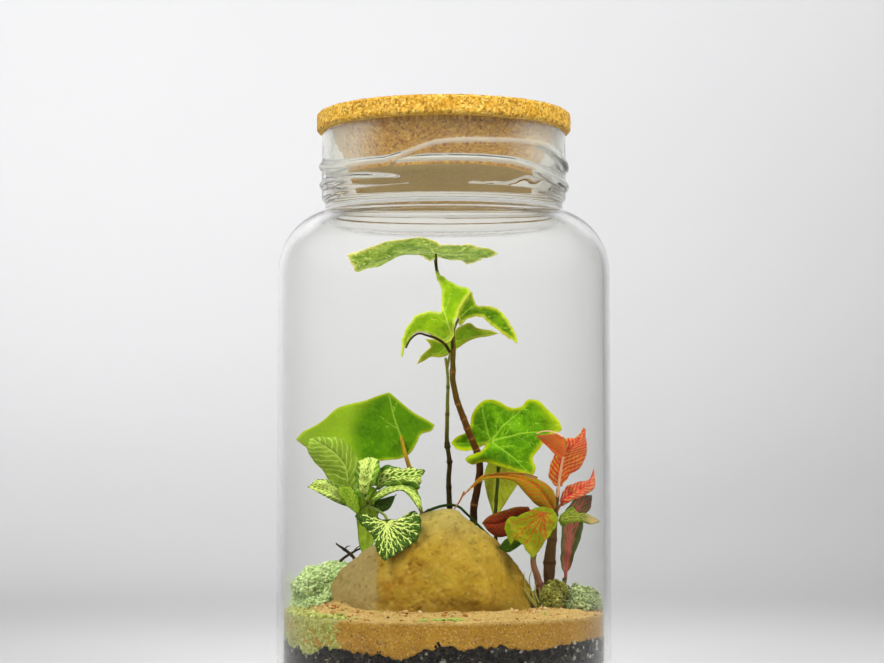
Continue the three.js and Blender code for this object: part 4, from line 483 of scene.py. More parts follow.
def sand():
    n = 480; a = np.linspace(0, 2 * np.pi, n, endpoint=False); sx, sy = np.sin(a), -np.cos(a)
    rows = [np.stack([0 * a, 0 * a, 0 * a + sand_top(np.zeros(1), np.zeros(1))[0]], 1)]; green = [0 * a]
    for r in list(np.linspace(3, 62, 26)) + list(np.linspace(63.2, 80.9, 24)):
        rows.append(np.stack([r * sx, r * sy, sand_top(r * sx, r * sy)], 1)); green.append(top_moss(r * sx, r * sy))
    zt = rows[-1][:, 2] - 0.12; zb = boundary(a)
    for k in np.linspace(0, 1, 16):
        z = zt * (1 - k) + zb * k; q = low_moss(a, z)
        P = np.stack([81 * sx, 81 * sy, z], 1); r = FILL_R - 0.10 * np.abs(wob(P, 1.3, 24)) - 1.5 * np.clip(q * 2, 0, 1)
        rows.append(np.stack([r * sx, r * sy, z], 1)); green.append(np.maximum(q, (1 - k) ** 4 * green[50]))
    green += [0 * a] * 3
    rows.append(np.stack([79.2 * sx, 79.2 * sy, zb - 0.8], 1)); rows.append(np.stack([60 * sx, 60 * sy, 0 * a + 29], 1)); rows.append(np.stack([0 * a, 0 * a, 0 * a + 29], 1))
    V = np.vstack(rows); T = tris(grid(len(rows), n, True)); V, T, (green,) = tidy(V, T, [np.concatenate(green)]); T = outward(V, T)
    m = Mat("damp_sand"); x, y, z = m.xyz()
    big = m.noise(22, 4, 0.6); fine = m.noise(0.9, 3, 0.75); g = m.voronoi(0.75, warp=0.3)
    c = m.ramp(big, [(0.25, lin(146, 102, 22)), (0.5, lin(164, 120, 32)), (0.75, lin(180, 138, 50))])
    damp = m.step(m.noise(13, 4, 0.6, 0.3), 0.52, 0.68); c = m.mix(m.math("MULTIPLY", damp, 0.45), c, lin(134, 92, 24))
    hi = m.math("ADD", z, m.math("MULTIPLY", m.noise(5, 3), 0.0026)); dry = m.step(hi, 0.0446, 0.0470); c = m.mix(m.math("MULTIPLY", dry, 0.9), c, m.mix(m.noise(6, 4), lin(174, 138, 70), lin(212, 184, 118)))
    c = m.mix(m.math("MULTIPLY", m.step(m.attr("moss", "R"), 0.12, 0.5), 0.9), c, m.mix(m.noise(3, 4), lin(140, 146, 70), lin(186, 190, 120)))
    s = m.n("SeparateColor"); m.link(g.outputs["Color"], s.inputs[0])
    c = m.mix(m.math("MULTIPLY", m.step(s.outputs[0], 0.80, 0.90), 0.40), c, lin(206, 172, 104))
    c = m.mix(m.math("MULTIPLY", m.step(s.outputs[1], 0.84, 0.9), 0.4), c, lin(112, 74, 22))
    c = m.mix(m.math("MULTIPLY", m.step(s.outputs[2], 0.965, 0.975), 0.75), c, lin(82, 62, 40))
    c = m.shade(c, fine, 0.6, 1.32)
    mat = m.done(c, 0.88, m.bump(m.math("ADD", fine, m.math("MULTIPLY", g.outputs["Distance"], 0.5)), 0.5, 0.8), spec=0.25)
    piece("sand_bed", V, T, mat, ["sand_layer"], {"moss": green})
    # loose crumbs on the sand, most of them at the stone's foot and along the glass
    r = np.random.default_rng(77); DF = [ico(1), ico(2)]; parts = []
    while len(parts) < 1150:
        k = r.random(); a = r.uniform(0, 2 * np.pi)
        if k < 0.45: b = 1.03 + abs(r.normal(0, 0.12)); x, y = -5.5 + 53 * b * math.cos(a), -2 + 37 * b * math.sin(a)
        elif k < 0.7: q = 80.3 - abs(r.normal(0, 2.2)); x, y = q * math.cos(a), q * math.sin(a)
        else: q = 80 * math.sqrt(r.random()); x, y = q * math.cos(a), q * math.sin(a)
        if math.hypot(x, y) > 80.2 or ((x + 5.5) / 51) ** 2 + ((y + 2) / 34) ** 2 < 0.9: continue
        s = min(1.5, r.lognormal(-0.75, 0.45)); D, F = DF[s > 0.62]; V = D * (1 + 0.22 * wob(D * 10, 9, int(r.integers(1e6)))[:, None]) * s * r.uniform([0.8, 0.8, 0.55], [1.25, 1.25, 0.95])
        R = r.uniform(0, 2 * np.pi); V = np.stack([V[:, 0] * math.cos(R) - V[:, 1] * math.sin(R), V[:, 0] * math.sin(R) + V[:, 1] * math.cos(R), V[:, 2]], 1)
        z = sand_top(np.array([x]), np.array([y]))[0] + s * 0.25; t = r.random()
        parts.append((V + [x, y, z], F, [np.full(len(V), t)]))
    for i in range(34):
        x, y, s = r.normal(-1.5, 4.5), r.uniform(-79.2, -75.5), r.uniform(0.5, 1.1); D, F = DF[0]; V = D * s * r.uniform([0.8, 0.8, 0.5], [1.4, 1.2, 0.9])
        parts.append((V + [x, y, sand_top(np.array([x]), np.array([y]))[0] + s * 0.3], F, [np.full(len(V), 0.92)]))
    V, T, (tone,) = join(parts)
    m = Mat("sand_crumbs"); t = m.attr("tone", "R")
    c = m.ramp(t, [(0.0, lin(196, 156, 96)), (0.3, lin(180, 130, 62)), (0.55, lin(210, 182, 132)), (0.75, lin(150, 98, 36)), (0.9, lin(158, 184, 84)), (0.95, lin(70, 52, 30))], "CONSTANT")
    c = m.shade(c, m.noise(0.6, 3), 0.65, 1.25)
    piece("sand_crumbs", V, T, m.done(c, 0.85, m.bump(m.noise(0.5, 3), 0.2, 0.7), spec=0.25), ["sand_layer"], {"tone": tone})

def soil():
    n = 480; a = np.linspace(0, 2 * np.pi, n, endpoint=False); sx, sy = np.sin(a), -np.cos(a); zt = boundary(a) - 0.12; rows = [np.stack([0 * a, 0 * a, 0 * a + 28], 1), np.stack([60 * sx, 60 * sy, 0 * a + 28], 1), np.stack([79.4 * sx, 79.4 * sy, zt - 1.2], 1)]
    foot = lambda z: np.where(z < 14.2, 1.2, 0)
    P0 = np.stack([81 * sx, 81 * sy, 0 * a], 1); zb = 16.6 + 1.1 * wob(P0, 9, 51, 2) + 0.6 * wob(P0, 3, 52)
    for k in np.linspace(0, 1, 34):
        z = zt * (1 - k) + zb * k; P = np.stack([81 * sx, 81 * sy, z], 1)
        d = 0.9 * np.maximum(0, wob(P, 5.5, 53, 2) + 0.15) + 0.5 * np.maximum(0, wob(P, 2.2, 54)); q = low_moss(a, z)
        r = FILL_R - np.minimum(d, 1.8) - 1.4 * np.clip(q * 2, 0, 1); rows.append(np.stack([r * sx, r * sy, z], 1))
    rows += [np.stack([78 * sx, 78 * sy, zb - 0.8], 1), np.stack([0 * a, 0 * a, 0 * a + 15.5], 1)]
    V = np.vstack(rows); T = tris(grid(len(rows), n, True)); V, T, _ = tidy(V, T); T = outward(V, T)
    m = Mat("dark_soil")
    big = m.noise(9, 5, 0.65); g = m.voronoi(1.7, warp=1.0); f = m.voronoi(0.8, warp=0.4); fine = m.noise(0.7, 4, 0.7)
    c = m.ramp(big, [(0.3, lin(8, 7, 5)), (0.5, lin(16, 13, 9)), (0.72, lin(34, 29, 20))])
    s = m.n("SeparateColor"); m.link(g.outputs["Color"], s.inputs[0]); q = m.n("SeparateColor"); m.link(f.outputs["Color"], q.inputs[0])
    c = m.mix(m.math("MULTIPLY", m.step(s.outputs[0], 0.72, 0.8), 0.6), c, lin(58, 50, 36))
    c = m.mix(m.math("MULTIPLY", m.step(s.outputs[1], 0.74, 0.82), 0.7), c, lin(10, 9, 7))
    c = m.mix(m.math("MULTIPLY", m.step(q.outputs[0], 0.86, 0.9), 0.4), c, lin(88, 80, 62))
    c = m.mix(m.math("MULTIPLY", m.step(s.outputs[2], 0.945, 0.96), 0.6), c, lin(176, 168, 150))
    c = m.shade(c, fine, 0.5, 1.2)
    mat = m.done(c, 0.9, m.bump(m.math("ADD", fine, g.outputs["Distance"]), 0.8, 0.9), spec=0.2)
    piece("potting_soil_bed", V, T, mat, ["potting_soil"])
    # pale grains and dark lumps in the soil against the glass
    r = np.random.default_rng(5); DF = [ico(1), ico(2)]; parts = []
    for i in range(620):
        a = r.uniform(0, 2 * np.pi); zt = boundary(np.array([a]))[0]; z = r.uniform(17.5, zt + (0.6 if i % 5 else 1.4)); white = r.random() < (0.10 if math.cos(a) > 0.86 else 0.26)
        s = min(2.2, r.lognormal(-0.15, 0.4)) * (0.75 if white else 1.0)
        D, F = DF[s > 0.75]; V = D * (1 + 0.28 * wob(D * 10, 10, int(r.integers(1e6)))[:, None]) * s * r.uniform(0.7, 1.3, 3)
        u = np.array([math.sin(a), -math.cos(a), 0]); off = 81.25 - 0.72 * s; P = V + u * off + [0, 0, z]
        rr = np.hypot(P[:, 0], P[:, 1]); P[:, :2] *= (np.minimum(rr, 81.32) / rr)[:, None]
        parts.append((P, F, [np.full(len(V), (0.7 + 0.3 * r.random()) if white else 0.6 * r.random())]))
    V, T, (tone,) = join(parts)
    m = Mat("soil_grains"); t = m.attr("tone", "R")
    c = m.ramp(t, [(0.0, lin(7, 6, 5)), (0.3, lin(18, 14, 10)), (0.5, lin(34, 27, 17)), (0.66, lin(104, 96, 74)), (0.8, lin(150, 143, 122)), (1.0, lin(200, 193, 174))])
    c = m.shade(c, m.noise(0.7, 3), 0.5, 1.1)
    piece("soil_grains", V, T, m.done(c, 0.9, m.bump(m.noise(0.6, 3), 0.3, 0.8), spec=0.2), ["potting_soil"], {"tone": tone})

def gravel():
    r = np.random.default_rng(9); DF = [ico(1), ico(2)]; parts = []
    def stone_at(x, y, z, s, fine=1):
        D, F = DF[fine]
        V = D * (1 + 0.16 * wob(D * 10, 13, int(r.integers(1e6)))[:, None]) * s * r.uniform(0.72, 1.2, 3)
        P = V + [x, y, z]; rr = np.hypot(P[:, 0], P[:, 1]); zz = P[:, 2]
        lim = np.where(zz < 14, 73.4 + np.sqrt(np.maximum(0, 7.6 ** 2 - (14 - np.maximum(zz, 6.6)) ** 2)), 81.1)
        P[:, :2] *= (np.minimum(rr, lim) / np.maximum(rr, 1e-6))[:, None]; P[:, 2] = np.clip(zz, 7.05, 17.2)
        parts.append((P, F, [np.full(len(V), r.random())]))
    for row, (z, R) in enumerate([(9.0, 75.6), (12.2, 78.4), (15.2, 78.7)]):
        k = 106
        for i in range(k):
            a = 2 * np.pi * (i + 0.5 * (row % 2) + r.uniform(-0.25, 0.25)) / k; s = r.uniform(1.9, 2.9)
            stone_at((R - s * 0.3) * math.sin(a), -(R - s * 0.3) * math.cos(a), z + r.uniform(-0.5, 0.5), s)
    for R in np.arange(3, 74, 5.4):
        k = max(1, int(2 * np.pi * R / 5.4))
        for i in range(k): a = 2 * np.pi * (i + r.uniform(-0.3, 0.3)) / k; stone_at(R * math.sin(a), -R * math.cos(a), 9.0 + r.uniform(-0.2, 0.9), r.uniform(2.3, 3.1), int(R > 66))
    V, T, (tone,) = join(parts)
    m = Mat("washed_grit"); t = m.attr("tone", "R")
    c = m.ramp(t, [(0.0, lin(150, 140, 124)), (0.25, lin(120, 112, 100)), (0.5, lin(176, 164, 142)), (0.75, lin(136, 116, 92)), (1.0, lin(196, 188, 172))])
    c = m.shade(c, m.noise(1.6, 4, 0.7), 0.5, 1.2)
    piece("drainage_grit", V, T, m.done(c, 0.75, m.bump(m.noise(0.8, 4), 0.25, 0.7), spec=0.35), ["drainage_gravel"], {"tone": tone})

sand(); soil(); gravel()

# ------------------------------------------------------------------ moss
def tufts(P, N, seed, count, size=(0.7, 1.5), spread=0.8, droop=0.0):
    """Short pointed sprigs standing on random places of a surface."""
    r = np.random.default_rng(seed); i = r.integers(0, len(P), count); c = P[i] + r.normal(0, 0.25, (count, 3)); n = unit(N[i] + r.normal(0, spread, (count, 3)) * 0.6 + [0, 0, 0.25])
    a = unit(np.cross(n, r.normal(size=(count, 3)))); b = np.cross(n, a); L = r.uniform(*size, count)[:, None]; w = r.uniform(0.16, 0.30, count)[:, None] * (L / 1.1)
    b2 = -0.5 * a + 0.866 * b; b3 = -0.5 * a - 0.866 * b; w = w * 1.12
    V = np.stack([c - n * 0.2, c + n * L * 0.45 + a * w, c + n * L * 0.45 + b2 * w, c + n * L * 0.45 + b3 * w, c + n * L], 1).reshape(-1, 3)
    f = np.array([[0, 2, 1], [0, 3, 2], [0, 1, 3], [4, 1, 2], [4, 2, 3], [4, 3, 1]])
    T = (f[None] + 5 * np.arange(count)[:, None, None]).reshape(-1, 3); tone = np.repeat(r.random(count), 5); tip_and_painted_light = np.tile([0, .5, .5, .5, 1.0], count)
    return V, T, [tone, tip_and_painted_light]

def lumps(P, N, seed, count, size=(0.5, 1.1)):
    r = np.random.default_rng(seed); i = r.integers(0, len(P), count); D, F = ico(1); parts = []
    for k in i:
        s = r.uniform(*size); V = D * s * r.uniform(0.7, 1.3, 3) + P[k] + N[k] * s * 0.35 + r.normal(0, 0.15, 3)
        # a lump's value follows its upward facing, so the shader paints its top paler (painted light) and its underside
        # darker (painted shade)
        parts.append((V, F, [np.full(len(V), r.random()), 0.4 + 0.5 * D[:, 2]]))
    return join(parts)

def moss_mat(name, shades, tipc):
    m = Mat(name); tone = m.attr("tone", "R"); tip_and_painted_light = m.attr("tip_and_painted_light", "R")
    c = m.ramp(tone, [(i / (len(shades) - 1), lin(*s)) for i, s in enumerate(shades)])
    # darker at the sprig feet and paler at the tips: partly the moss's own colour, partly painted shade at the feet and
    # painted light on top
    c = m.mix(m.step(tip_and_painted_light, 0.1, 1.0), m.mix(0.18, c, lin(92, 104, 46)), c)
    c = m.mix(m.math("MULTIPLY", m.step(tip_and_painted_light, 0.55, 1.0), 0.45), c, lin(*tipc))
    big = m.noise(9, 3); c = m.shade(c, big, 0.86, 1.32)
    return m.done(c, 0.9, m.bump(m.noise(0.5, 3), 0.2, 0.6), spec=0.2)

def cushion(name, node, c, r, p, seed, shades, tipc, count, lumpy, z0=46.2, lean=0.0, rough=1.0, sprigs=()):
    nr, na = 44, 116; rho = np.sin(np.linspace(0, 1, nr) * np.pi / 2) ** 0.9; a = np.linspace(0, 2 * np.pi, na, endpoint=False)
    R, A = np.meshgrid(rho, a, indexing="ij"); X = np.cos(A); Y = np.sin(A); k = (np.abs(X) ** p + np.abs(Y) ** p) ** (-1 / p)
    H = np.maximum(0, 1 - R ** p) ** (1 / p); x = c[0] + R * X * k * r[0]; y = c[1] + R * Y * k * r[1]; z = z0 + H * r[2] + lean * R * X * H
    V = np.stack([x, y, z], -1).reshape(-1, 3); T = tris(grid(nr, na, True)); V, T, _ = tidy(V, T); T = outward(V, T)
    N = vnormals(V, T); N[V[:, 2] < z0 + 0.3] *= 0.3
    V = V + N * (rough * (1.5 * wob(V, 13, seed, 2) + 0.9 * wob(V, 4.5, seed + 1, 2) + 0.35 * wob(V, 1.8, seed + 2)) - 0.5)[:, None]
    # keep inside the glass and above the sand
    rr = np.hypot(V[:, 0], V[:, 1]); V[:, :2] *= (np.minimum(rr, 80.6) / np.maximum(rr, 1e-6))[:, None]
    V[:, 2] = np.maximum(V[:, 2], sand_top(V[:, 0], V[:, 1]) - 0.8)
    N = vnormals(V, T); keep = (V[:, 2] > z0 + 0.6)
    PV, PN = V[keep], N[keep]
    # even sampling over the surface
    rnd = np.random.default_rng(seed + 5); area = np.linalg.norm(np.cross(V[T[:, 1]] - V[T[:, 0]], V[T[:, 2]] - V[T[:, 0]]), axis=1); pick = rnd.choice(len(T), 40000, p=area / area.sum())
    w = rnd.dirichlet([1, 1, 1], 40000)[:, :, None]; S = (V[T[pick]] * w).sum(1); SN = unit((N[T[pick]] * w).sum(1)); ok = S[:, 2] > z0 + 0.3
    S, SN = S[ok], SN[ok]; rs = np.hypot(S[:, 0], S[:, 1]); ok = rs < 80.4; S, SN = S[ok], SN[ok]
    base = (V, T, [np.full(len(V), 0.35) + 0.3 * wob(V, 3, seed + 7), np.full(len(V), 0.25)])
    tv = tufts(S, SN, seed + 8, count); lv = lumps(S, SN, seed + 9, lumpy)
    sp = []
    for pts, r0 in sprigs: D = curve(pts, 16); v, f, w = tube(D, np.linspace(r0 * 1.35, 0.2, 16), 6); sp.append((v, f, [0 * w + 0.72, 0 * w + 0.6]))
    V, T, (tone, tip_and_painted_light) = join([base, lv, tv] + sp); rr = np.hypot(V[:, 0], V[:, 1]); V[:, :2] *= (np.minimum(rr, 81.3) / np.maximum(rr, 1e-6))[:, None]
    piece(name, V, T, moss_mat(name, shades, tipc), [node], {"tone": np.clip(tone, 0, 1), "tip_and_painted_light": tip_and_painted_light})

PALE = [(158, 180, 112), (182, 204, 134), (200, 218, 154), (216, 230, 176)]
cushion("moss_left_cushion", "moss_left", (-60.5, 15.5), (18.6, 21.2, 21.0), 3.0, 300, PALE, (214, 234, 172), 12000, 2200, lean=2, rough=1.5)
cushion("moss_right_cushion", "moss_right", (70.6, 1), (9.2, 17, 10.8), 2.4, 320, [(88, 104, 52), (128, 142, 82), (160, 172, 112), (192, 202, 150)], (214, 222, 180), 5000, 850, rough=1.4)
cushion("moss_back_cushion", "moss_back", (55.0, 3), (8.2, 14.5, 13), 2.4, 340, [(84, 82, 26), (116, 112, 38), (146, 142, 62), (176, 174, 100)], (186, 184, 100), 4800, 800, rough=1.5,
        sprigs=[([(46.6, -7, 48), (41.6, -7.4, 55), (41.0, -8, 60), (40.4, -9, 65.6)], 0.42), ([(47, -7, 49), (44.4, -7, 56), (43.2, -7, 62), (44.6, -7.6, 67.2)], 0.38), ([(48, -6, 50), (46.2, -5.4, 56), (47.4, -6, 62.6)], 0.36), ([(46.8, -9, 49), (43.0, -9.4, 54), (38.9, -10, 58.4)], 0.36),
                ([(48.2, -8, 50), (45.4, -9, 55), (42.6, -9.6, 57)], 0.34), ([(49, -5, 50), (48.4, -5, 57), (46.4, -5.4, 61)], 0.34)])
def moss_low():
    r = np.random.default_rng(61); S = []
    while len(S) < 2600:
        a = math.radians(r.uniform(-82, -32)); z = r.uniform(28.5, 46.5)
        if low_moss(np.array([a]), np.array([z]))[0] > r.uniform(0.12, 0.5): S.append((a, z))
    S = np.array(S); u = np.stack([np.sin(S[:, 0]), -np.cos(S[:, 0]), 0 * S[:, 0]], 1); P = u * 80.2; P[:, 2] = S[:, 1]
    Q = []
    while len(Q) < 700:
        a = math.radians(r.uniform(-88, -30)); q = 80.4 - abs(r.normal(0, 4.5)); x, y = q * math.sin(a), -q * math.cos(a)
        if top_moss(np.array([x]), np.array([y]))[0] > r.uniform(0.15, 0.6): Q.append((x, y, sand_top(np.array([x]), np.array([y]))[0] + 0.2))
    P = np.vstack([P, Q]); u = np.vstack([u * 0.4, np.tile([0, 0, 0.6], (len(Q), 1))])
    lv = lumps(P, u, 62, 1350, (0.65, 1.4)); tv = tufts(P, u, 63, 2600, (0.6, 1.3), 1.4)
    V, T, (tone, tip_and_painted_light) = join([lv, tv]); rr = np.hypot(V[:, 0], V[:, 1]); V[:, :2] *= (np.minimum(rr, 81.34) / rr)[:, None]
    piece("moss_low_patch", V, T, moss_mat("moss_low_patch", [(120, 124, 40), (146, 146, 64), (162, 164, 84), (180, 184, 108)], (190, 196, 120)), ["moss_left_low"], {"tone": tone, "tip_and_painted_light": tip_and_painted_light})
moss_low()

# ------------------------------------------------------------------ stems
PATHS = {}
def bark(name, low, mid, high, scar, knee=0.48):
    m = Mat(name); t = m.attr("along", "R"); s = m.attr("along", "G")
    c = m.ramp(t, [(0.0, lin(*low)), (0.26, lin(*low)), (knee, lin(*mid)), (1.0, lin(*high))])
    streak = m.noise(2.2, 4, 0.65, stretch=(1.0, 1.0, 0.22)); c = m.shade(c, streak, 0.35, 1.45)
    c = m.mix(m.math("MULTIPLY", s, 0.75), c, lin(*scar)); fine = m.noise(0.7, 3)
    c = m.mix(m.math("MULTIPLY", m.step(m.noise(1.1, 3, 0.7), 0.60, 0.70), 0.45), c, lin(int(low[0] * 0.55), int(low[1] * 0.55), int(low[2] * 0.5)))
    return m.done(c, m.step(fine, -0.5, 1.6), m.bump(m.math("ADD", streak, m.math("MULTIPLY", fine, 0.5)), 0.3, 0.8), spec=0.15)

def stem(name, mat, rad, rings=(), sides=14, rough=0.05, extra=(), wide=()):
    P = STEMS[name]["pts"]; n = max(40, int(np.linalg.norm(np.diff(np.array(P), axis=0), axis=1).sum() / 0.9)); C = curve(P, n); PATHS[name] = C
    t = np.linspace(0, 1, n); r = np.interp(t, [a for a, _ in rad], [b for _, b in rad]); scar = np.zeros(n)
    for z, w, h in rings:           # swollen rings at a height z
        k = int(np.argmin(np.abs(C[:, 2] - z))); s = (np.arange(n) - k) * 0.9
        r = r + h * np.exp(-(s / w) ** 2); scar = np.maximum(scar, np.exp(-(s / (w * 0.55)) ** 2))
    C = C + 0.10 * np.stack([wob(C, 9, 3), wob(C, 9, 4), 0 * t], 1)
    V, T, q = tube(C, r, sides)
    for z0, w, f in wide: k = 1 + f * np.exp(-np.abs((V[:, 2] - z0) / w) ** 3); cx = np.interp(q, t, C[:, 0]); V[:, 0] = cx + (V[:, 0] - cx) * k
    ax = np.interp(q, t, np.arange(n)).astype(int)
    N = vnormals(V, T); V = V + N * (rough * wob(V, 1.8, 8, 2) * np.interp(q, t, r))[:, None]
    parts = [(V, T, [q, np.interp(q, t, scar)])]
    for pts, r0, r1 in extra:
        D = curve(pts, 30); v, f, w = tube(D, np.linspace(r0, r1, 30), 10); parts.append((v, f, [np.full(len(v), 0.8) * (w * 0 + 1), w * 0]))
    V, T, (q, s) = join(parts)
    piece(name + "_round", V, T, mat, [name], {"along": np.stack([q, s, 0 * q, 0 * q + 1], 1)})

IVY_BARK = ((74, 54, 24), (150, 92, 36), (112, 116, 38), (206, 160, 104))
stem("ivy_stem_main", bark("ivy_bark_main", (18, 10, 3), (92, 50, 10), (110, 104, 22), (156, 106, 54), 0.52),
     [(0, 2.1), (0.35, 1.95), (0.55, 1.75), (0.75, 1.35), (1, 0.75)],
     [(90, 1.0, .25), (99, 0.9, .2), (111, 0.9, .2), (126, 0.6, .28), (128.5, 0.5, .2), (133.5, 0.5, .25), (139, 0.6, .35), (144, 0.8, .3), (151, 0.5, .2), (168, 1.2, .25), (188, 1.0, .2), (208, 0.9, .2)])
stem("ivy_stem_side", bark("ivy_bark_side", (34, 22, 6), (62, 48, 14), (136, 142, 38), (28, 20, 8), 0.66),
     [(0, 2.0), (0.3, 1.85), (0.45, 1.5), (0.7, 1.12), (1, 0.72)], [(98, 1.0, .3), (108, 0.8, .3), (121, 0.7, .55), (129, 0.9, .7), (131, 0.6, .4), (146, 1.0, .2), (160, 0.8, .2)])
stem("ivy_petiole_right", bark("ivy_petiole_bark_right", (30, 24, 8), (40, 34, 10), (90, 112, 24), (60, 46, 16)), [(0, 1.1), (0.6, 0.95), (1, 0.75)], [(86, 1, .25), (101, 1, .15)])
stem("ivy_petiole_left", bark("ivy_petiole_bark_left", (52, 40, 12), (110, 98, 30), (186, 146, 40), (84, 58, 20)), [(0, 1.15), (0.7, 1.0), (0.9, 1.1), (1, 0.9)], [(98, 1, .25), (118, 1, .2)])
stem("ivy_runner", bark("ivy_runner_bark", (30, 30, 10), (32, 48, 8), (40, 66, 10), (24, 20, 8)), [(0, 0.85), (0.6, 0.8), (1, 0.5)], [(96, 0.7, .3), (90, .7, .3), (82, .7, .3)])
HERB = ((104, 96, 50), (128, 120, 60), (150, 150, 70), (90, 70, 40))
stem("fittonia_white_stem", bark("white_vein_stem", (92, 84, 44), (118, 128, 58), (146, 160, 70), (84, 70, 38)), [(0, 1.5), (0.7, 1.35), (1, 1.1)], [(72, 0.8, .35), (86, 0.8, .35), (97, 0.8, .3)])
stem("fittonia_white_petiole", bark("white_vein_petiole", (96, 112, 48), (112, 128, 56), (140, 152, 76), (84, 70, 38)), [(0, 0.8), (1, 0.62)], ())
stem("fittonia_red_stem", bark("red_vein_stem", (86, 58, 48), (82, 58, 34), (104, 80, 30), (58, 34, 24)), [(0, 2.3), (0.3, 2.3), (0.5, 2.1), (0.75, 1.5), (1, 0.9)], [(70, 0.8, .3), (82, 0.8, .3), (94, 0.7, .3)], sides=20, wide=[(73, 13, 0.55)])
stem("fittonia_red_stem_front", bark("red_vein_stem_front", (112, 68, 58), (140, 92, 78), (108, 102, 36), (82, 46, 38)), [(0, 1.25), (0.3, 1.5), (0.5, 1.9), (0.7, 1.4), (1, 0.85)], [(60, 0.7, .35), (74, 0.7, .35)],
     extra=[([(50.2, -1.5, 60.0), (47.6, -3, 56.5), (44.6, -4, 54.0), (43.0, -4.5, 50.0)], 1.0, 0.75)])
stem("fittonia_red_stem_back", bark("red_vein_stem_back", (84, 60, 34), (96, 70, 36), (96, 92, 36), (60, 40, 24)), [(0, 1.6), (1, 1.2)], [(54, 0.8, .3)])
TWIG = bark("dry_twig", (48, 38, 26), (56, 42, 28), (70, 54, 36), (30, 22, 14))
stem("twig_long", TWIG, [(0, 0.35), (0.3, 0.75), (1, 0.95)], [(76, 0.6, .25)], 10, 0.16, extra=[([(-51.5, 13.0, 75.8), (-50.2, 11.0, 77.6), (-48.2, 9.0, 78.2)], 0.5, 0.2), ([(-54.0, 13.5, 77.6), (-55.6, 11.5, 79.6)], 0.4, 0.2)])
stem("twig_short", TWIG, [(0, 0.5), (1, 0.8)], [(74, 0.6, .2)], 10, 0.16, extra=[([(-47.5, 16.2, 74.2), (-45.0, 14.0, 77.0), (-42.5, 13.0, 78.6)], 0.45, 0.2)])

# ------------------------------------------------------------------ leaves
def seg_dist(Q, S):
    """Distance from points Q (n,2) to segments S (m,4)."""
    out = np.empty((len(Q), len(S)))
    for j, (ax, ay, bx, by) in enumerate(S):
        d = np.array([bx - ax, by - ay]); L = max(1e-9, d @ d); t = np.clip(((Q - [ax, ay]) @ d) / L, 0, 1)
        out[:, j] = np.hypot(Q[:, 0] - ax - t * d[0], Q[:, 1] - ay - t * d[1])
    return out

def veins(Q, lines):
    """lines: (points, width at start, width at end). Returns strength 0..1 and distance to the nearest."""
    v = np.zeros(len(Q)); near = np.full(len(Q), 1e3)
    for pts, w0, w1 in lines:
        pts = np.asarray(pts); k = len(pts) - 1; S = np.hstack([pts[:-1], pts[1:]]); d = seg_dist(Q, S)
        w = np.linspace(w0, w1, k)[None]; v = np.maximum(v, np.exp(-(d / w) ** 2).max(1)); near = np.minimum(near, (d - w * 0.5).min(1))
    return v, np.maximum(near, 0)

def cells(Q, d, seed, w):
    lo, hi = Q.min(0) - d, Q.max(0) + d; r = np.random.default_rng(seed); gx, gy = np.meshgrid(np.arange(lo[0], hi[0], d), np.arange(lo[1], hi[1], d)); G = np.stack([gx.ravel(), gy.ravel()], 1); G += r.uniform(-0.42, 0.42, G.shape) * d
    out = np.empty(len(Q)); idx = np.empty(len(Q), int)
    for i in range(0, len(Q), 4000):
        D = np.hypot(Q[i:i + 4000, None, 0] - G[None, :, 0], Q[i:i + 4000, None, 1] - G[None, :, 1]); o = np.argpartition(D, 1, axis=1)[:, :2]; dd = np.sort(np.take_along_axis(D, o, 1), axis=1)
        out[i:i + 4000] = dd[:, 1] - dd[:, 0]; idx[i:i + 4000] = D.argmin(1)
    return np.exp(-(out / w) ** 2), r.random(len(G))[idx]

def branch(pts, every, ang, frac, start=0.18, stop=0.95, side=(1, -1), bend=12, limit=None, alt=True):
    """Side veins from a vein: list of point lists."""
    pts = np.asarray(pts, float); s = np.r_[0, np.cumsum(np.linalg.norm(np.diff(pts, axis=0), axis=1))]; L = s[-1]; out = []; q = L * start; k = 0
    while q < L * stop:
        p = np.array([np.interp(q, s, pts[:, 0]), np.interp(q, s, pts[:, 1])]); p2 = np.array([np.interp(q + 0.2, s, pts[:, 0]), np.interp(q + 0.2, s, pts[:, 1])]); d = unit(p2 - p)
        for sd in ([side[k % len(side)]] if alt else side):
            ln = frac * (L - q) + 0.10 * L if limit is None else limit(q, sd); a = math.radians(ang) * sd; c = [p]; step = ln / 6; h = a
            for j in range(6): h = a - math.radians(bend) * sd * (j / 6); c.append(c[-1] + step * np.array([d[0] * math.cos(h) - d[1] * math.sin(h), d[0] * math.sin(h) + d[1] * math.cos(h)]))
            out.append(np.array(c))
        q += every; k += 1
    return out

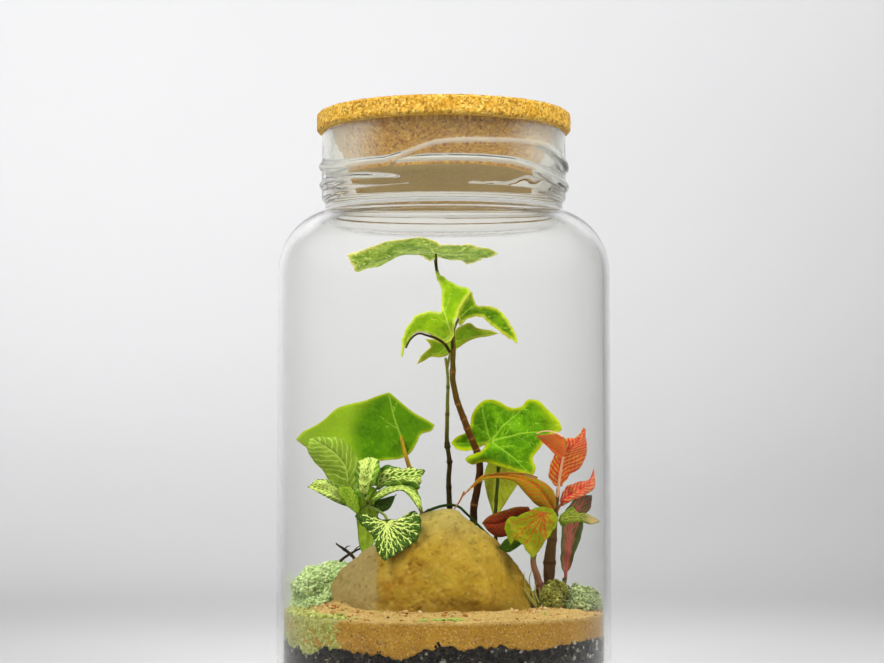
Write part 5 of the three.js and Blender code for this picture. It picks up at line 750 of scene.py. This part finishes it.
def leaf_mat(name, cell, cell2, vein, margin, vein_amt=0.8, net_amt=0.2, net=None, mw=1.6, tipc=None, tip_at=(0.7, 1.0), stalk=(120, 120, 50), rough=0.42, crisp=(0.25, 0.6), mottle=0.5, spots=None, coat=0.0, under=1.12, ribs=None):
    m = Mat(name); v, n, e, al = m.attr("leafa", "R"), m.attr("leafa", "G"), m.attr("leafa", "B"), m.attr("leafa", "A"); st, un, rd = m.attr("leafb", "R"), m.attr("leafb", "G"), m.attr("leafb", "B")
    big = m.noise(8, 3, 0.6, 0.5); c = m.mix(m.step(big, 0.36, 0.64), lin(*cell), lin(*cell2)); c = m.mix(m.math("MULTIPLY", rd, 0.28), c, lin(*cell2))
    if tipc: c = m.mix(m.step(al, *tip_at), c, lin(*tipc))
    ed = m.math("ADD", e, m.math("MULTIPLY", m.noise(3.5, 3), 0.055)); mg = m.math("SUBTRACT", 1.0, m.step(ed, 0.028, 0.028 + mw * 0.05)); c = m.mix(m.math("MULTIPLY", mg, 0.85), c, lin(*margin))
    tiny = m.voronoi(0.9, "DISTANCE_TO_EDGE", warp=0.3).outputs["Distance"]; c = m.mix(m.math("MULTIPLY", m.math("SUBTRACT", 1.0, m.step(tiny, 0.0, 0.10)), 0.16), c, lin(*vein))
    c = m.mix(m.math("MULTIPLY", m.step(n, *crisp), net_amt), c, lin(*(net or vein))); c = m.mix(m.math("MULTIPLY", m.step(v, *crisp), vein_amt), c, lin(*vein))
    if ribs:  # side veins and their cross links: spacing mm, angle, width, amount, link amount, colour between
        sp, ang, wd, am, am2, gap = ribs; s_mm = m.math("MULTIPLY", m.attr("leafc", "R"), 64.0); a = m.math("ABSOLUTE", m.math("MULTIPLY", m.math("SUBTRACT", m.attr("leafc", "G"), 0.5), 64.0))
        ph = m.math("DIVIDE", m.math("SUBTRACT", s_mm, m.math("MULTIPLY", m.math("POWER", a, 0.9), 1 / math.tan(math.radians(ang)))), sp); ph = m.math("ADD", ph, m.math("MULTIPLY", m.noise(4.5, 3), 1.1)); fr = m.math("FRACT", ph); row = m.math("FLOOR", ph)
        d = m.math("ABSOLUTE", m.math("SUBTRACT", fr, 0.5)); rib = m.step(m.math("ADD", d, m.math("MULTIPLY", m.noise(1.1, 2), 0.10)), 0.55 - wd, 0.55 - wd * 0.45)
        p2 = m.math("ADD", m.math("DIVIDE", a, sp * 0.8), m.math("ADD", m.math("MULTIPLY", row, 0.37), m.math("MULTIPLY", m.noise(1.8, 2), 0.9))); link = m.step(m.math("ABSOLUTE", m.math("SUBTRACT", m.math("FRACT", p2), 0.5)), 0.5 - wd * 0.8, 0.5 - wd * 0.3)
        isle = m.step(m.math("ADD", m.math("SUBTRACT", 0.5, d), m.math("MULTIPLY", m.noise(1.4, 2), 0.25)), 0.44, 0.62); fade = m.step(m.math("SUBTRACT", 1.0, m.math("MULTIPLY", e, 1.0)), 0.2, 0.8)
        c = m.mix(m.math("MULTIPLY", isle, 0.85), c, lin(*gap)); c = m.mix(m.math("MULTIPLY", link, am2), c, lin(*vein)); c = m.mix(m.math("MULTIPLY", rib, am), c, lin(*vein)); n = m.math("MAXIMUM", n, m.math("MULTIPLY", m.math("MAXIMUM", rib, link), 0.9))
        c = m.mix(m.math("MULTIPLY", m.step(v, *crisp), vein_amt), c, lin(*vein))
    if spots: c = m.mix(m.math("MULTIPLY", m.step(m.noise(2.4, 3, 0.6), 0.66, 0.72), m.math("SUBTRACT", 1.0, m.step(e, 0.04, 0.14))), c, lin(*spots))
    # the underside is made paler by `under` times; on the top ivy leaf the large factor also lifts its shaded underside
    # as painted light
    c = m.shade(c, un, 1.0, under); c = m.shade(c, m.noise(1.3, 3, 0.6), 1.0 - 0.4 * mottle, 1.0 + 0.5 * mottle); c = m.mix(st, c, lin(*stalk))
    h = m.math("ADD", m.math("MULTIPLY", m.math("SUBTRACT", 1.0, n), 0.5), m.math("ADD", m.math("MULTIPLY", tiny, 1.2), m.math("MULTIPLY", m.noise(0.8, 3), 0.35)))
    return m.done(c, m.math("ADD", m.math("MULTIPLY", big, 0.2), rough - 0.1), m.bump(h, 0.22, 0.75), spec=0.08, coat=coat)

def finish_leaf(name, V, T, cols, thick, mat, plant, base, edge_mm, stalk_r=0.6, extra=(), pos=()):
    """cols: vein, net, along, rand, edge distance (mm)."""
    vein, net, along, rand, ed = cols
    t = thick * np.clip(0.35 + ed / 1.6, 0.35, 1.0); n0 = len(V)
    V2, T2, C = thicken(V, T, t, [vein, net, along, rand, ed, np.zeros(n0), np.zeros(n0), *pos])
    C[6][n0:] = 1.0
    if outward(V2, T2) is not T2: T2 = T2[:, [0, 2, 1]]
    parts = [(V2, T2, C)]
    def stalk(pts, r0, r1, val=1.0):
        D = curve(pts, 26); v, f, w = tube(D, np.linspace(r0, r1, 26), 9); z = np.zeros(len(v)); parts.append((v, f, [z, z, z, z + 0.5, z + 5, z + val, z] + [z] * len(pos)))
    if plant:
        near = min(((np.linalg.norm(PATHS[s] - base, axis=1).min(), s) for s in plant), key=lambda q: q[0]); P = PATHS[near[1]]; k = int(np.argmin(np.linalg.norm(P - base, axis=1) + np.abs(np.linalg.norm(P - base, axis=1) - 1) * 0)); k = max(0, k - 6)
        if 0.6 < near[0] < 22:
            j = P[k]; mid = (j + base) / 2 + np.array([0, 0, 0.10 * near[0]]); stalk([j, mid, base], stalk_r * 1.25, stalk_r)
    for pts, r0, r1 in extra: stalk(pts, r0, r1)
    V, T, C = join(parts); vein, net, along, rand, ed, st, un = C[:7]; more = {"leafc": np.stack([C[7], C[8], 0 * st, 0 * st + 1], 1)} if pos else {}
    rr = np.hypot(V[:, 0], V[:, 1]); inside = V[:, 2] < 217; V[:, :2] *= np.where(inside, np.minimum(rr, 81.2) / np.maximum(rr, 1e-6), 1)[:, None]
    piece(name + "_blade", V, T, mat, [name], {"leafa": np.stack([vein, net, np.clip(ed / 20, 0, 1), along], 1), "leafb": np.stack([st, un, rand, 0 * st + 1], 1), **more})

def plate(N):
    P = np.asarray(N, float); n = len(P); D = np.hypot(P[:, None, 0] - P[None, :, 0], P[:, None, 1] - P[None, :, 1]); f = lambda r: np.where(r < 1e-9, 0, r * r * np.log(np.maximum(r, 1e-9)))
    A = np.zeros((n + 3, n + 3)); A[:n, :n] = f(D) + 2 * np.eye(n); A[:n, n] = A[n, :n] = 1; A[:n, n + 1:] = P[:, :2]; A[n + 1:, :n] = P[:, :2].T; w = np.linalg.solve(A, np.r_[P[:, 2], 0, 0, 0])
    return lambda Q: w[n] + Q @ w[n + 1:] + f(np.hypot(Q[:, None, 0] - P[None, :, 0], Q[:, None, 1] - P[None, :, 1])) @ w[:n]

def outline(pts, step):
    n = len(pts); first = next((i for i, p in enumerate(pts) if len(p) > 3 and p[3]), 0); runs, run = [], [pts[first]]
    for i in range(1, n + 1):
        p = pts[(first + i) % n]; run.append(p)
        if (len(p) > 3 and p[3]) or i == n: runs.append(run); run = [p]
    out = []
    for r in runs:
        Q = np.array([p[:3] for p in r], float); L = np.linalg.norm(np.diff(Q, axis=0), axis=1).sum(); k = max(3, int(L / step)); out.append(curve(Q, k + 1)[:-1])
    return np.vstack(out)

from mathutils.geometry import delaunay_2d_cdt
def broad(name, mat, gap, tips, plant, side=(6, 40, 0.42), w=(0.55, 0.22), net=(3.2, 0.32), wave=(0.5, 16), quilt=0.25, thick=0.42, teeth=0.0, extra=(), fan=None, stalk_r=0.6):
    l = FAN_LEAVES[name]; flat = l.get("flat"); a, b, h = (0, 1, 2) if flat else (0, 2, 1); C = np.array(l["c"]); O = outline(l["pts"], 0.9); o2 = O[:, [a, b]]
    if teeth:
        nrm = np.roll(o2, -1, 0) - np.roll(o2, 1, 0); nrm = unit(np.stack([-nrm[:, 1], nrm[:, 0]], 1)); o2 = o2 + nrm * (teeth * wob(O, 3.2, 17, 2))[:, None]
    H = plate([(p[a], p[b], p[h]) for p in list(l["pts"]) + [list(C)]])
    lo, hi = o2.min(0), o2.max(0); xs = np.arange(lo[0], hi[0], gap); ys = np.arange(lo[1], hi[1], gap * 0.87); X, Y = np.meshgrid(xs, ys); X = X + (np.arange(len(ys)) % 2)[:, None] * gap / 2; G = np.stack([X.ravel(), Y.ravel()], 1)
    S = np.hstack([o2, np.roll(o2, -1, 0)]); x, y = G[:, 0], G[:, 1]; ins = np.zeros(len(G), bool)
    for x0, y0, x1, y1 in S: ins ^= ((y0 > y) != (y1 > y)) & (x < (x1 - x0) * (y - y0) / (y1 - y0 + 1e-12) + x0)
    G = G[ins]; G = G[seg_dist(G, S).min(1) > gap * 0.45]; n = len(o2)
    co, _, fc, *_ = delaunay_2d_cdt([Vector(p) for p in np.vstack([o2, G])], [(i, (i + 1) % n) for i in range(n)], [list(range(n))], 1, 1e-4)
    Q = np.array([p[:] for p in co]); T = np.array([f for f in fc if len(f) == 3]); P = np.zeros((len(Q), 3)); P[:, a], P[:, b], P[:, h] = Q[:, 0], Q[:, 1], H(Q)
    c2 = C[[a, b]]; lines = []; ends = [np.array(e)[[a, b]] for e in tips] if tips else []
    if fan:
        for e in ends:
            main = curve(np.array([[*c2, 0], [*((c2 + e) / 2 + [0, 0]), 0], [*(c2 + (e - c2) * 0.94), 0]]), 12)[:, :2]; lines.append((main, w[0], w[1])); 
            for s in branch(main, *fan[:3], start=0.22): lines.append((s, w[1] * 1.05, w[1] * 0.7)); lines += [(u, w[1] * 0.8, w[1] * 0.55) for u in branch(s, fan[0] * 0.8, 38, 0.4, start=0.35)]
    else:
        for e in ends:
            d = e - c2; pr = np.array([-d[1], d[0]]); main = curve(np.array([[*c2, 0], [*(c2 + d * 0.5 + pr * 0.03), 0], [*(c2 + d * 0.96), 0]]), 14)[:, :2]; lines.append((main, w[0], w[1]))
            for s in branch(main, *side): lines.append((s, w[1] * 0.9, w[1] * 0.55)); lines += [(u, w[1] * 0.55, w[1] * 0.4) for u in branch(s, side[0] * 0.7, 45, 0.35, start=0.3)]
    v, near = veins(Q, lines) if lines else (np.zeros(len(Q)), np.full(len(Q), 5.0)); ed = seg_dist(Q, S).min(1); net_v, rand = cells(Q, net[0], 7, net[1])
    q = quilt * (np.clip(near / 1.5, 0, 1) - 0.5) + 0.35 * quilt * (1 - net_v); N = vnormals(P, T); sgn = -1.0 if (N @ np.array([0, 1.0, 0])).mean() > 0 and not flat else 1.0
    P = P + N * (sgn * q + wave[0] * wob(P, wave[1], 19, 2) * np.clip(ed / 1.0, 0.6, 1))[:, None]
    along = np.clip(np.linalg.norm(Q - c2, axis=1) / max(1e-6, np.linalg.norm(o2 - c2, axis=1).max()), 0, 1)
    finish_leaf(name, P, T, [v, net_v, along, rand, ed], thick, mat, plant, C, None, stalk_r, extra)

def loft(name, mat, plant, nu=58, nv=32, side=(3.2, 52), w=(0.5, 0.26), net=(1.9, 0.25), wave=(0.35, 9), quilt=0.3, thick=0.4, frill=0.0, cup=1.0, stalk_r=0.6, branches=True, sides=True, extra=()):
    l = LOFT_LEAVES[name]; L, M, R = (curve(l[k], nu + 1) for k in ("left", "mid", "right")); u = np.linspace(0, 1, nu + 1); s = np.r_[0, np.cumsum(np.linalg.norm(np.diff(M, axis=0), axis=1))]; tg = unit(np.gradient(M, axis=0)); up = unit(np.cross(L - M, tg)); up = np.where(up[:, 1:2] > 0, -up, up)
    wide = [np.linalg.norm(L - M, axis=1), np.linalg.norm(R - M, axis=1)]; vs = np.linspace(-1, 1, nv + 1); P, Q, E = [], [], []
    for v in vs:
        X, wd = (L, wide[0]) if v < 0 else (R, wide[1]); k = abs(v); cap = np.minimum(1, wd / 6) * l["bulge"] * 4 * k * (1 - k) * cup
        P.append(M * (1 - k) + X * k + up * cap[:, None]); Q.append(np.stack([s, np.sign(v) * k * wd], 1)); E.append(np.minimum((1 - k) * wd, (s[-1] - s) * 0.7 + 0.02))
    P = np.stack(P, 1).reshape(-1, 3); Q = np.stack(Q, 1).reshape(-1, 2); ed = np.stack(E, 1).ravel(); T = tris(grid(nu + 1, nv + 1))
    lines = [(np.array([[0, 0], [s[-1] * 0.97, 0]]) if False else np.stack([np.linspace(0, s[-1] * 0.97, 12), np.zeros(12)], 1), w[0], w[1])]
    lim = lambda q, sd: 1.08 * np.interp(q + 1.5, s, wide[0 if sd < 0 else 1]) / max(0.5, math.sin(math.radians(side[1]))) 
    for c in branch(lines[0][0], side[0], side[1], 0, 0.06, 0.93, bend=26, limit=lim, alt=False) if sides else []:
        lines.append((c, w[1] * 1.1, w[1] * 0.7))
        if branches: lines += [(x, w[1] * 0.75, w[1] * 0.5) for x in branch(c, side[0] * 0.62, 42, 0.42, start=0.3)]
    v, near = veins(Q, lines); net_v, rand = cells(Q, net[0], 7, net[1]); N = vnormals(P, T); f = np.where((N[:, 1].mean() > 0), -1.0, 1.0)
    q = f * (quilt * (np.clip(near / 1.1, 0, 1) - 0.5) + 0.3 * quilt * (1 - net_v)); rim = np.clip(1 - ed / 2.5, 0, 1)
    P = P + N * (q * np.clip(ed / 0.6, 0, 1) + wave[0] * wob(P, wave[1], 29, 2) + frill * rim * wob(P, 5.0, 30))[:, None]
    along = Q[:, 0] / s[-1]; base = P[nv // 2].copy(); P, T, cols = tidy(P, T, [v, net_v, along, rand, ed, Q[:, 0] / 64, 0.5 + Q[:, 1] / 64])
    finish_leaf(name, P, T, cols[:5], thick, mat, plant, base, None, stalk_r, extra, cols[5:])

IV = ["ivy_stem_main", "ivy_stem_side", "ivy_petiole_right", "ivy_petiole_left"]
WH = ["fittonia_white_stem", "fittonia_white_petiole"]; RD = ["fittonia_red_stem", "fittonia_red_stem_front", "fittonia_red_stem_back"]
tipsof = lambda n, far=0.45: (lambda l, c: [p[:3] for p in l["pts"] if len(p) > 3 and p[3] and np.linalg.norm(np.array(p[:3]) - c) > far * max(np.linalg.norm(np.array(q[:3]) - c) for q in l["pts"])])(FAN_LEAVES[n], np.array(FAN_LEAVES[n]["c"]))
broad("ivy_leaf_left", leaf_mat("ivy_green_left", (84, 134, 0), (66, 116, 0), (156, 194, 60), (176, 190, 34), 0.62, 0.14, mw=2.0, tipc=(146, 180, 34), tip_at=(0.36, 0.56), stalk=(186, 146, 40), spots=(150, 70, 24)), 0.75, [(-28.8, 20.6, 156.8)], ["ivy_petiole_left"], wave=(0.7, 24), side=(9, 40, 0.5), w=(0.55, 0.36), quilt=0.16)
broad("ivy_leaf_right", leaf_mat("ivy_green_right", (100, 154, 4), (62, 116, 0), (160, 198, 56), (190, 196, 14), 0.55, 0.14, mw=2.8, tipc=(160, 188, 14), tip_at=(0.72, 1.05), stalk=(96, 116, 26)), 0.6, tipsof("ivy_leaf_right", 0.5) + [(20, 22, 152), (44, 20, 151)], ["ivy_petiole_right"], wave=(0.8, 15), quilt=0.45)
broad("ivy_leaf_mid_left", leaf_mat("ivy_green_mid_left", (152, 190, 6), (116, 162, 0), (214, 226, 96), (214, 222, 84), 0.5, 0.12, mw=1.9, stalk=(60, 44, 14)), 0.6, tipsof("ivy_leaf_mid_left", 0.4), ["ivy_stem_main"], wave=(0.5, 15), w=(0.45, 0.2), teeth=0.42,
      extra=[([(2.9, -2.5, 177.3), (0.6, -7.0, 180.9), (-3.5, -12.5, 183.4), (-8.5, -17.0, 184.9), (-12.5, -19.5, 185.7), (-16.5, -22.5, 182.8), (-19.0, -24.5, 178.1)], 0.85, 0.4)])
broad("ivy_leaf_mid_right", leaf_mat("ivy_green_mid_right", (104, 148, 8), (58, 102, 2), (186, 204, 70), (206, 206, 58), 0.5, 0.14, mw=2.2), 0.6, tipsof("ivy_leaf_mid_right", 0.4) + [(16, 2, 202)], ["ivy_stem_main"], wave=(0.45, 13), w=(0.45, 0.2), teeth=0.3)
broad("ivy_leaf_mid_low", leaf_mat("ivy_green_mid_low", (140, 182, 20), (104, 150, 6), (186, 206, 72), (200, 190, 60), 0.5, 0.14, mw=2.0), 0.6, tipsof("ivy_leaf_mid_low", 0.4), ["ivy_stem_side"], wave=(0.4, 12), w=(0.45, 0.2))
# painted light: under=1.75 brightens this leaf's shaded underside, which the camera sees from below
broad("ivy_leaf_top", leaf_mat("ivy_green_top", (168, 188, 82), (96, 136, 18), (212, 220, 132), (214, 204, 112), 0.6, 0.2, mottle=0.8, mw=2.2, stalk=(90, 78, 26), spots=(120, 76, 30), under=1.75), 0.95, tipsof("ivy_leaf_top"), ["ivy_stem_main"], wave=(0.9, 18), quilt=0.35, teeth=0.75)
loft("ivy_leaf_hanging", leaf_mat("ivy_green_hanging", (200, 206, 58), (172, 186, 34), (214, 216, 104), (160, 172, 40), 0.4, 0.08, stalk=(84, 92, 24)), ["ivy_petiole_right"], side=(4.5, 40), w=(0.4, 0.18), wave=(0.5, 14), quilt=0.12)
CREAM = (212, 226, 122)
wl = lambda n, c, c2, v=CREAM, va=0.97, na=0.12, mg=(26, 62, 8), mw=0.8, **k: leaf_mat(n, c, c2, v, mg, va, na, mw=mw, rough=0.38, crisp=(0.34, 0.70), stalk=(112, 128, 40), **k)
loft("fittonia_white_leaf_tall", wl("white_vein_tall", (146, 176, 50), (118, 154, 34), (196, 212, 100), 0.72, 0.0, (104, 140, 36), ribs=(3.9, 42, 0.13, 0.72, 0.12, (126, 160, 38))), WH, branches=False, sides=False, side=(4.6, 42), w=(0.75, 0.44), wave=(0.5, 12), frill=0.35, quilt=0.25)
loft("fittonia_white_leaf_outer", wl("white_vein_outer", (46, 88, 14), (108, 140, 26), CREAM, 0.92), WH, side=(2.5, 30), w=(0.60, 0.27), wave=(0.5, 7), frill=0.6, quilt=0.45)
loft("fittonia_white_leaf_bud", wl("white_vein_bud", (138, 178, 22), (108, 150, 14), (190, 210, 84), 0.55), WH, side=(2.2, 40), w=(0.4, 0.22))
loft("fittonia_white_leaf_crown", wl("white_vein_crown", (58, 108, 12), (112, 158, 30), CREAM, 0.92), WH, side=(2.3, 30), w=(0.62, 0.27), wave=(1.0, 5.5), frill=0.9, quilt=0.6)
loft("fittonia_white_leaf_right", wl("white_vein_right", (38, 84, 8), (88, 130, 22), CREAM, 0.92, 0.08, (18, 48, 4), 1.2), WH, side=(3.4, 34), w=(0.55, 0.34), wave=(0.9, 7), frill=0.6, quilt=0.55)
loft("fittonia_white_leaf_arch", wl("white_vein_arch", (70, 116, 14), (104, 146, 26), CREAM, 0.92, 0.08, (18, 48, 4), 0.7), WH, side=(3.0, 26), w=(0.45, 0.30), wave=(0.3, 7), frill=0.2, quilt=0.3)
broad("fittonia_white_leaf_front", wl("white_vein_front", (50, 92, 14), (30, 68, 6), CREAM, 1.0, 0.06, (18, 50, 4), 3.0), 0.40, [(-42.6, -23, 95.5), (-41, -24, 91), (-38, -26, 85.5), (-35.2, -30, 79.5), (-31.8, -32, 74.5), (-28, -33, 72.5), (-24, -32, 73.5), (-19.5, -31, 76.5), (-15, -29, 80.5), (-11.5, -28, 85), (-10.2, -27, 90), (-11, -26, 95.5), (-15, -26, 98)], ["fittonia_white_petiole"], w=(0.36, 0.185), net=(2.0, 0.26), wave=(0.5, 8), quilt=0.5, teeth=0.35, fan=(2.15, 32, 0.28))
# painted shade: this leaf is coloured near black-green, standing for a shaded leaf underside
loft("fittonia_white_leaf_low", wl("white_vein_low_painted_shade", (18, 42, 6), (34, 66, 10), (110, 134, 56), 0.4), WH, side=(2.4, 40), w=(0.4, 0.25), frill=0.4)
loft("fittonia_white_leaf_back", wl("white_vein_back", (74, 112, 18), (104, 140, 22), (150, 176, 60), 0.5, 0.05, (60, 92, 16), tipc=(140, 166, 40), tip_at=(0.30, 0.55)), WH, side=(3.4, 30), w=(0.6, 0.34), quilt=0.2, wave=(0.5, 9))
rl = lambda n, c, c2, v, mg, va=0.75, na=0.25, st=(150, 92, 34), **k: leaf_mat(n, c, c2, v, mg, va, na, rough=0.4, crisp=(0.25, 0.6), stalk=st, **k)
loft("fittonia_red_leaf_top", rl("red_vein_top", (216, 124, 54), (200, 124, 48), (204, 46, 28), (156, 150, 50), 0.9, 0.0, mw=1.5, tipc=(228, 110, 84), tip_at=(0.50, 0.80), ribs=(2.5, 44, 0.25, 0.95, 0.7, (212, 172, 66))), RD, side=(3.0, 44), w=(0.5, 0.20), sides=False, net=(1.7, 0.30), wave=(0.45, 8), quilt=0.45, frill=0.35)
loft("fittonia_red_leaf_upper", rl("red_vein_upper", (176, 92, 34), (146, 92, 26), (200, 70, 40), (140, 104, 44), 0.75, 0.0, st=(232, 178, 140), mw=0.6, tipc=(110, 96, 44), tip_at=(0.45, 0.9), ribs=(1.5, 40, 0.26, 0.75, 0.4, (140, 110, 44))), RD, side=(2.6, 40), w=(0.45, 0.2), sides=False, extra=[([(47.6, 3.2, 135.6), (50.3, 1.5, 136.7), (53.7, -1.5, 136.8), (57.1, -5.0, 135.8), (60.5, -8.3, 133.8)], 0.30, 0.42)])
loft("fittonia_red_leaf_mid", rl("red_vein_mid", (214, 124, 80), (200, 124, 66), (206, 46, 48), (160, 150, 60), 0.9, 0.0, mw=1.2, ribs=(2.3, 40, 0.25, 0.95, 0.7, (214, 164, 98))), RD, side=(2.7, 40), w=(0.5, 0.19), sides=False, net=(1.6, 0.28), wave=(0.4, 7), quilt=0.4, frill=0.3)
loft("fittonia_red_leaf_long", rl("red_vein_long", (150, 98, 16), (122, 112, 14), (184, 82, 24), (118, 122, 20), 0.6, 0.0, mw=0.9, tipc=(186, 116, 44), tip_at=(0.72, 1.0), ribs=(2.8, 34, 0.20, 0.75, 0.5, (128, 138, 24))), RD, side=(3.2, 36), w=(0.5, 0.2), sides=False, wave=(0.4, 10), extra=[([(10.2, -16.0, 106.2), (8.8, -16.3, 103.0), (7.0, -16.6, 100.0), (5.2, -16.6, 97.6)], 0.55, 0.3), ([(20.2, -15.6, 114.3), (25.8, -15.2, 115.3), (30.9, -14.4, 115.6), (36.4, -13.5, 115.5), (41.5, -12.8, 115.1), (47.2, -10.6, 113.3)], 0.3, 0.42)])
broad("fittonia_red_leaf_front", rl("red_vein_front", (146, 138, 26), (104, 124, 14), (160, 58, 22), (112, 146, 18), 0.85, 0.08, mw=1.4, net=(150, 110, 26)), 0.45, [(33, -17, 90), (34, -18, 82), (40.5, -20, 79), (46.2, -22, 74.5), (51.5, -18.5, 80), (56, -15, 88), (55, -13, 95), (40, -16, 97)], ["fittonia_red_stem_front"], w=(0.36, 0.17), net=(1.7, 0.26), wave=(0.5, 8), quilt=0.45, teeth=0.45, fan=(2.3, 34, 0.34))
loft("fittonia_red_leaf_side", rl("red_vein_side", (100, 122, 22), (80, 104, 12), (160, 156, 62), (96, 122, 20), mw=0.8, tipc=(196, 160, 110), tip_at=(0.55, 0.85)), RD, side=(2.6, 40), w=(0.36, 0.2), frill=0.25)
loft("fittonia_red_leaf_dark", rl("red_vein_dark", (108, 44, 16), (86, 42, 14), (142, 44, 26), (74, 92, 16), 0.8, 0.0, mw=2.0, tipc=(104, 40, 14), ribs=(2.5, 42, 0.22, 0.95, 0.6, (70, 52, 16))), RD, side=(2.8, 42), w=(0.5, 0.19), sides=False, quilt=0.4, frill=0.3)
loft("fittonia_red_leaf_under", rl("red_vein_under", (56, 92, 10), (38, 70, 8), (100, 124, 30), (42, 76, 10), 0.4, 0.1), RD, side=(2.6, 40), w=(0.34, 0.2))
loft("fittonia_red_leaf_back", rl("red_vein_back", (84, 96, 46), (64, 80, 34), (176, 84, 78), (66, 90, 40), 0.72, 0.08, mw=1.6, tipc=(60, 88, 36), tip_at=(0.55, 0.75)), RD, side=(5.2, 30), w=(2.4, 0.5), branches=False, wave=(0.6, 12), quilt=0.3, frill=0.3)

# ------------------------------------------------------------------ studio
def studio():
    P = [(0, 0)] + [(r, 0) for r in np.linspace(0.1, 1.0, 10)] + [(1.0 + 1.6 * math.sin(a), 1.6 - 1.6 * math.cos(a)) for a in np.linspace(0.05, math.pi / 2, 26)] + [(2.6, 2.2), (2.6, 3.4)]
    P = np.array(P) * 1000; n = 96; a = np.linspace(0, 2 * np.pi, n, endpoint=False); V = np.stack([P[:, 0:1] * np.cos(a), P[:, 0:1] * np.sin(a), np.repeat(P[:, 1:2], n, 1)], -1).reshape(-1, 3); T = tris(grid(len(P), n, True)); V, T, _ = tidy(V, T)
    if (vnormals(V, T)[V[:, 2] < 1][:, 2]).mean() < 0: T = T[:, [0, 2, 1]]
    V[:, 2] -= 0.05
    m = Mat("pale_floor"); c = m.mix(m.noise(600, 2), lin(191, 191, 192), lin(195, 195, 196)); piece("pale_floor", V, T, m.done(c, 0.9, spec=0.15), stage=True)
studio()
def area(name, loc, look, size, power, color=(1, 1, 1), spread=180):
    li = bpy.data.lights.new(name, "AREA"); li.shape = "RECTANGLE"; li.size, li.size_y = size; li.energy = power; li.color = color; li.spread = math.radians(spread)
    ob = bpy.data.objects.new(name, li); ob.location = loc; ob.rotation_euler = (Vector(look) - Vector(loc)).to_track_quat("-Z", "Y").to_euler(); bpy.context.scene.collection.objects.link(ob); return ob
for a in [area("key_left", (-0.80, -0.80, 0.95), (0, 0, 0.13), (0.8, 0.8), 3.5, (1.0, 0.985, 0.96), 70),
          area("key_right", (0.85, -0.62, 0.95), (0, 0, 0.12), (0.7, 0.7), 2.9, (1, 1, 1), 70),
          area("top_soft", (0.0, 0.25, 1.5), (0, 0, 0.1), (0.9, 0.9), 2.4, (1, 1, 1), 60),
          area("floor_soft", (-0.45, 1.1, 1.35), (-0.35, 1.75, 0.2), (2.0, 0.8), 13.0, (1, 1, 1), 120),
          area("back_wash", (-0.10, 1.45, 1.75), (-0.04, 2.6, 1.35), (3.2, 0.5), 25.0, (1, 1, 1), 140)]:
    a.visible_camera = False
    if a.name in ("key_left", "key_right", "top_soft"): a.visible_glossy = a.visible_transmission = False
w = bpy.data.worlds.new("pale_world"); bpy.context.scene.world = w; w.use_nodes = True; w.node_tree.nodes["Background"].inputs[0].default_value = (1, 1, 1, 1); w.node_tree.nodes["Background"].inputs[1].default_value = 0.14

cam = bpy.data.cameras.new("camera"); cam.lens = 87.5; cam.sensor_width = 36.0; cam.sensor_fit = "HORIZONTAL"; cam.clip_start = 0.05; cam.clip_end = 30
co = bpy.data.objects.new("camera", cam); co.location = (-0.00092, -1.100, 0.1196); co.rotation_euler = (math.radians(90 + 3.556), 0, 0); bpy.context.scene.collection.objects.link(co); bpy.context.scene.camera = co
sc = bpy.context.scene; sc.view_settings.view_transform = "Standard"; sc.view_settings.look = "None"; sc.view_settings.exposure = 0.0; sc.view_settings.gamma = 1.0
sc.cycles.max_bounces = 24; sc.cycles.transmission_bounces = 20; sc.cycles.glossy_bounces = 8; sc.cycles.diffuse_bounces = 4; sc.cycles.transparent_max_bounces = 32; sc.cycles.caustics_refractive = False; sc.cycles.caustics_reflective = False
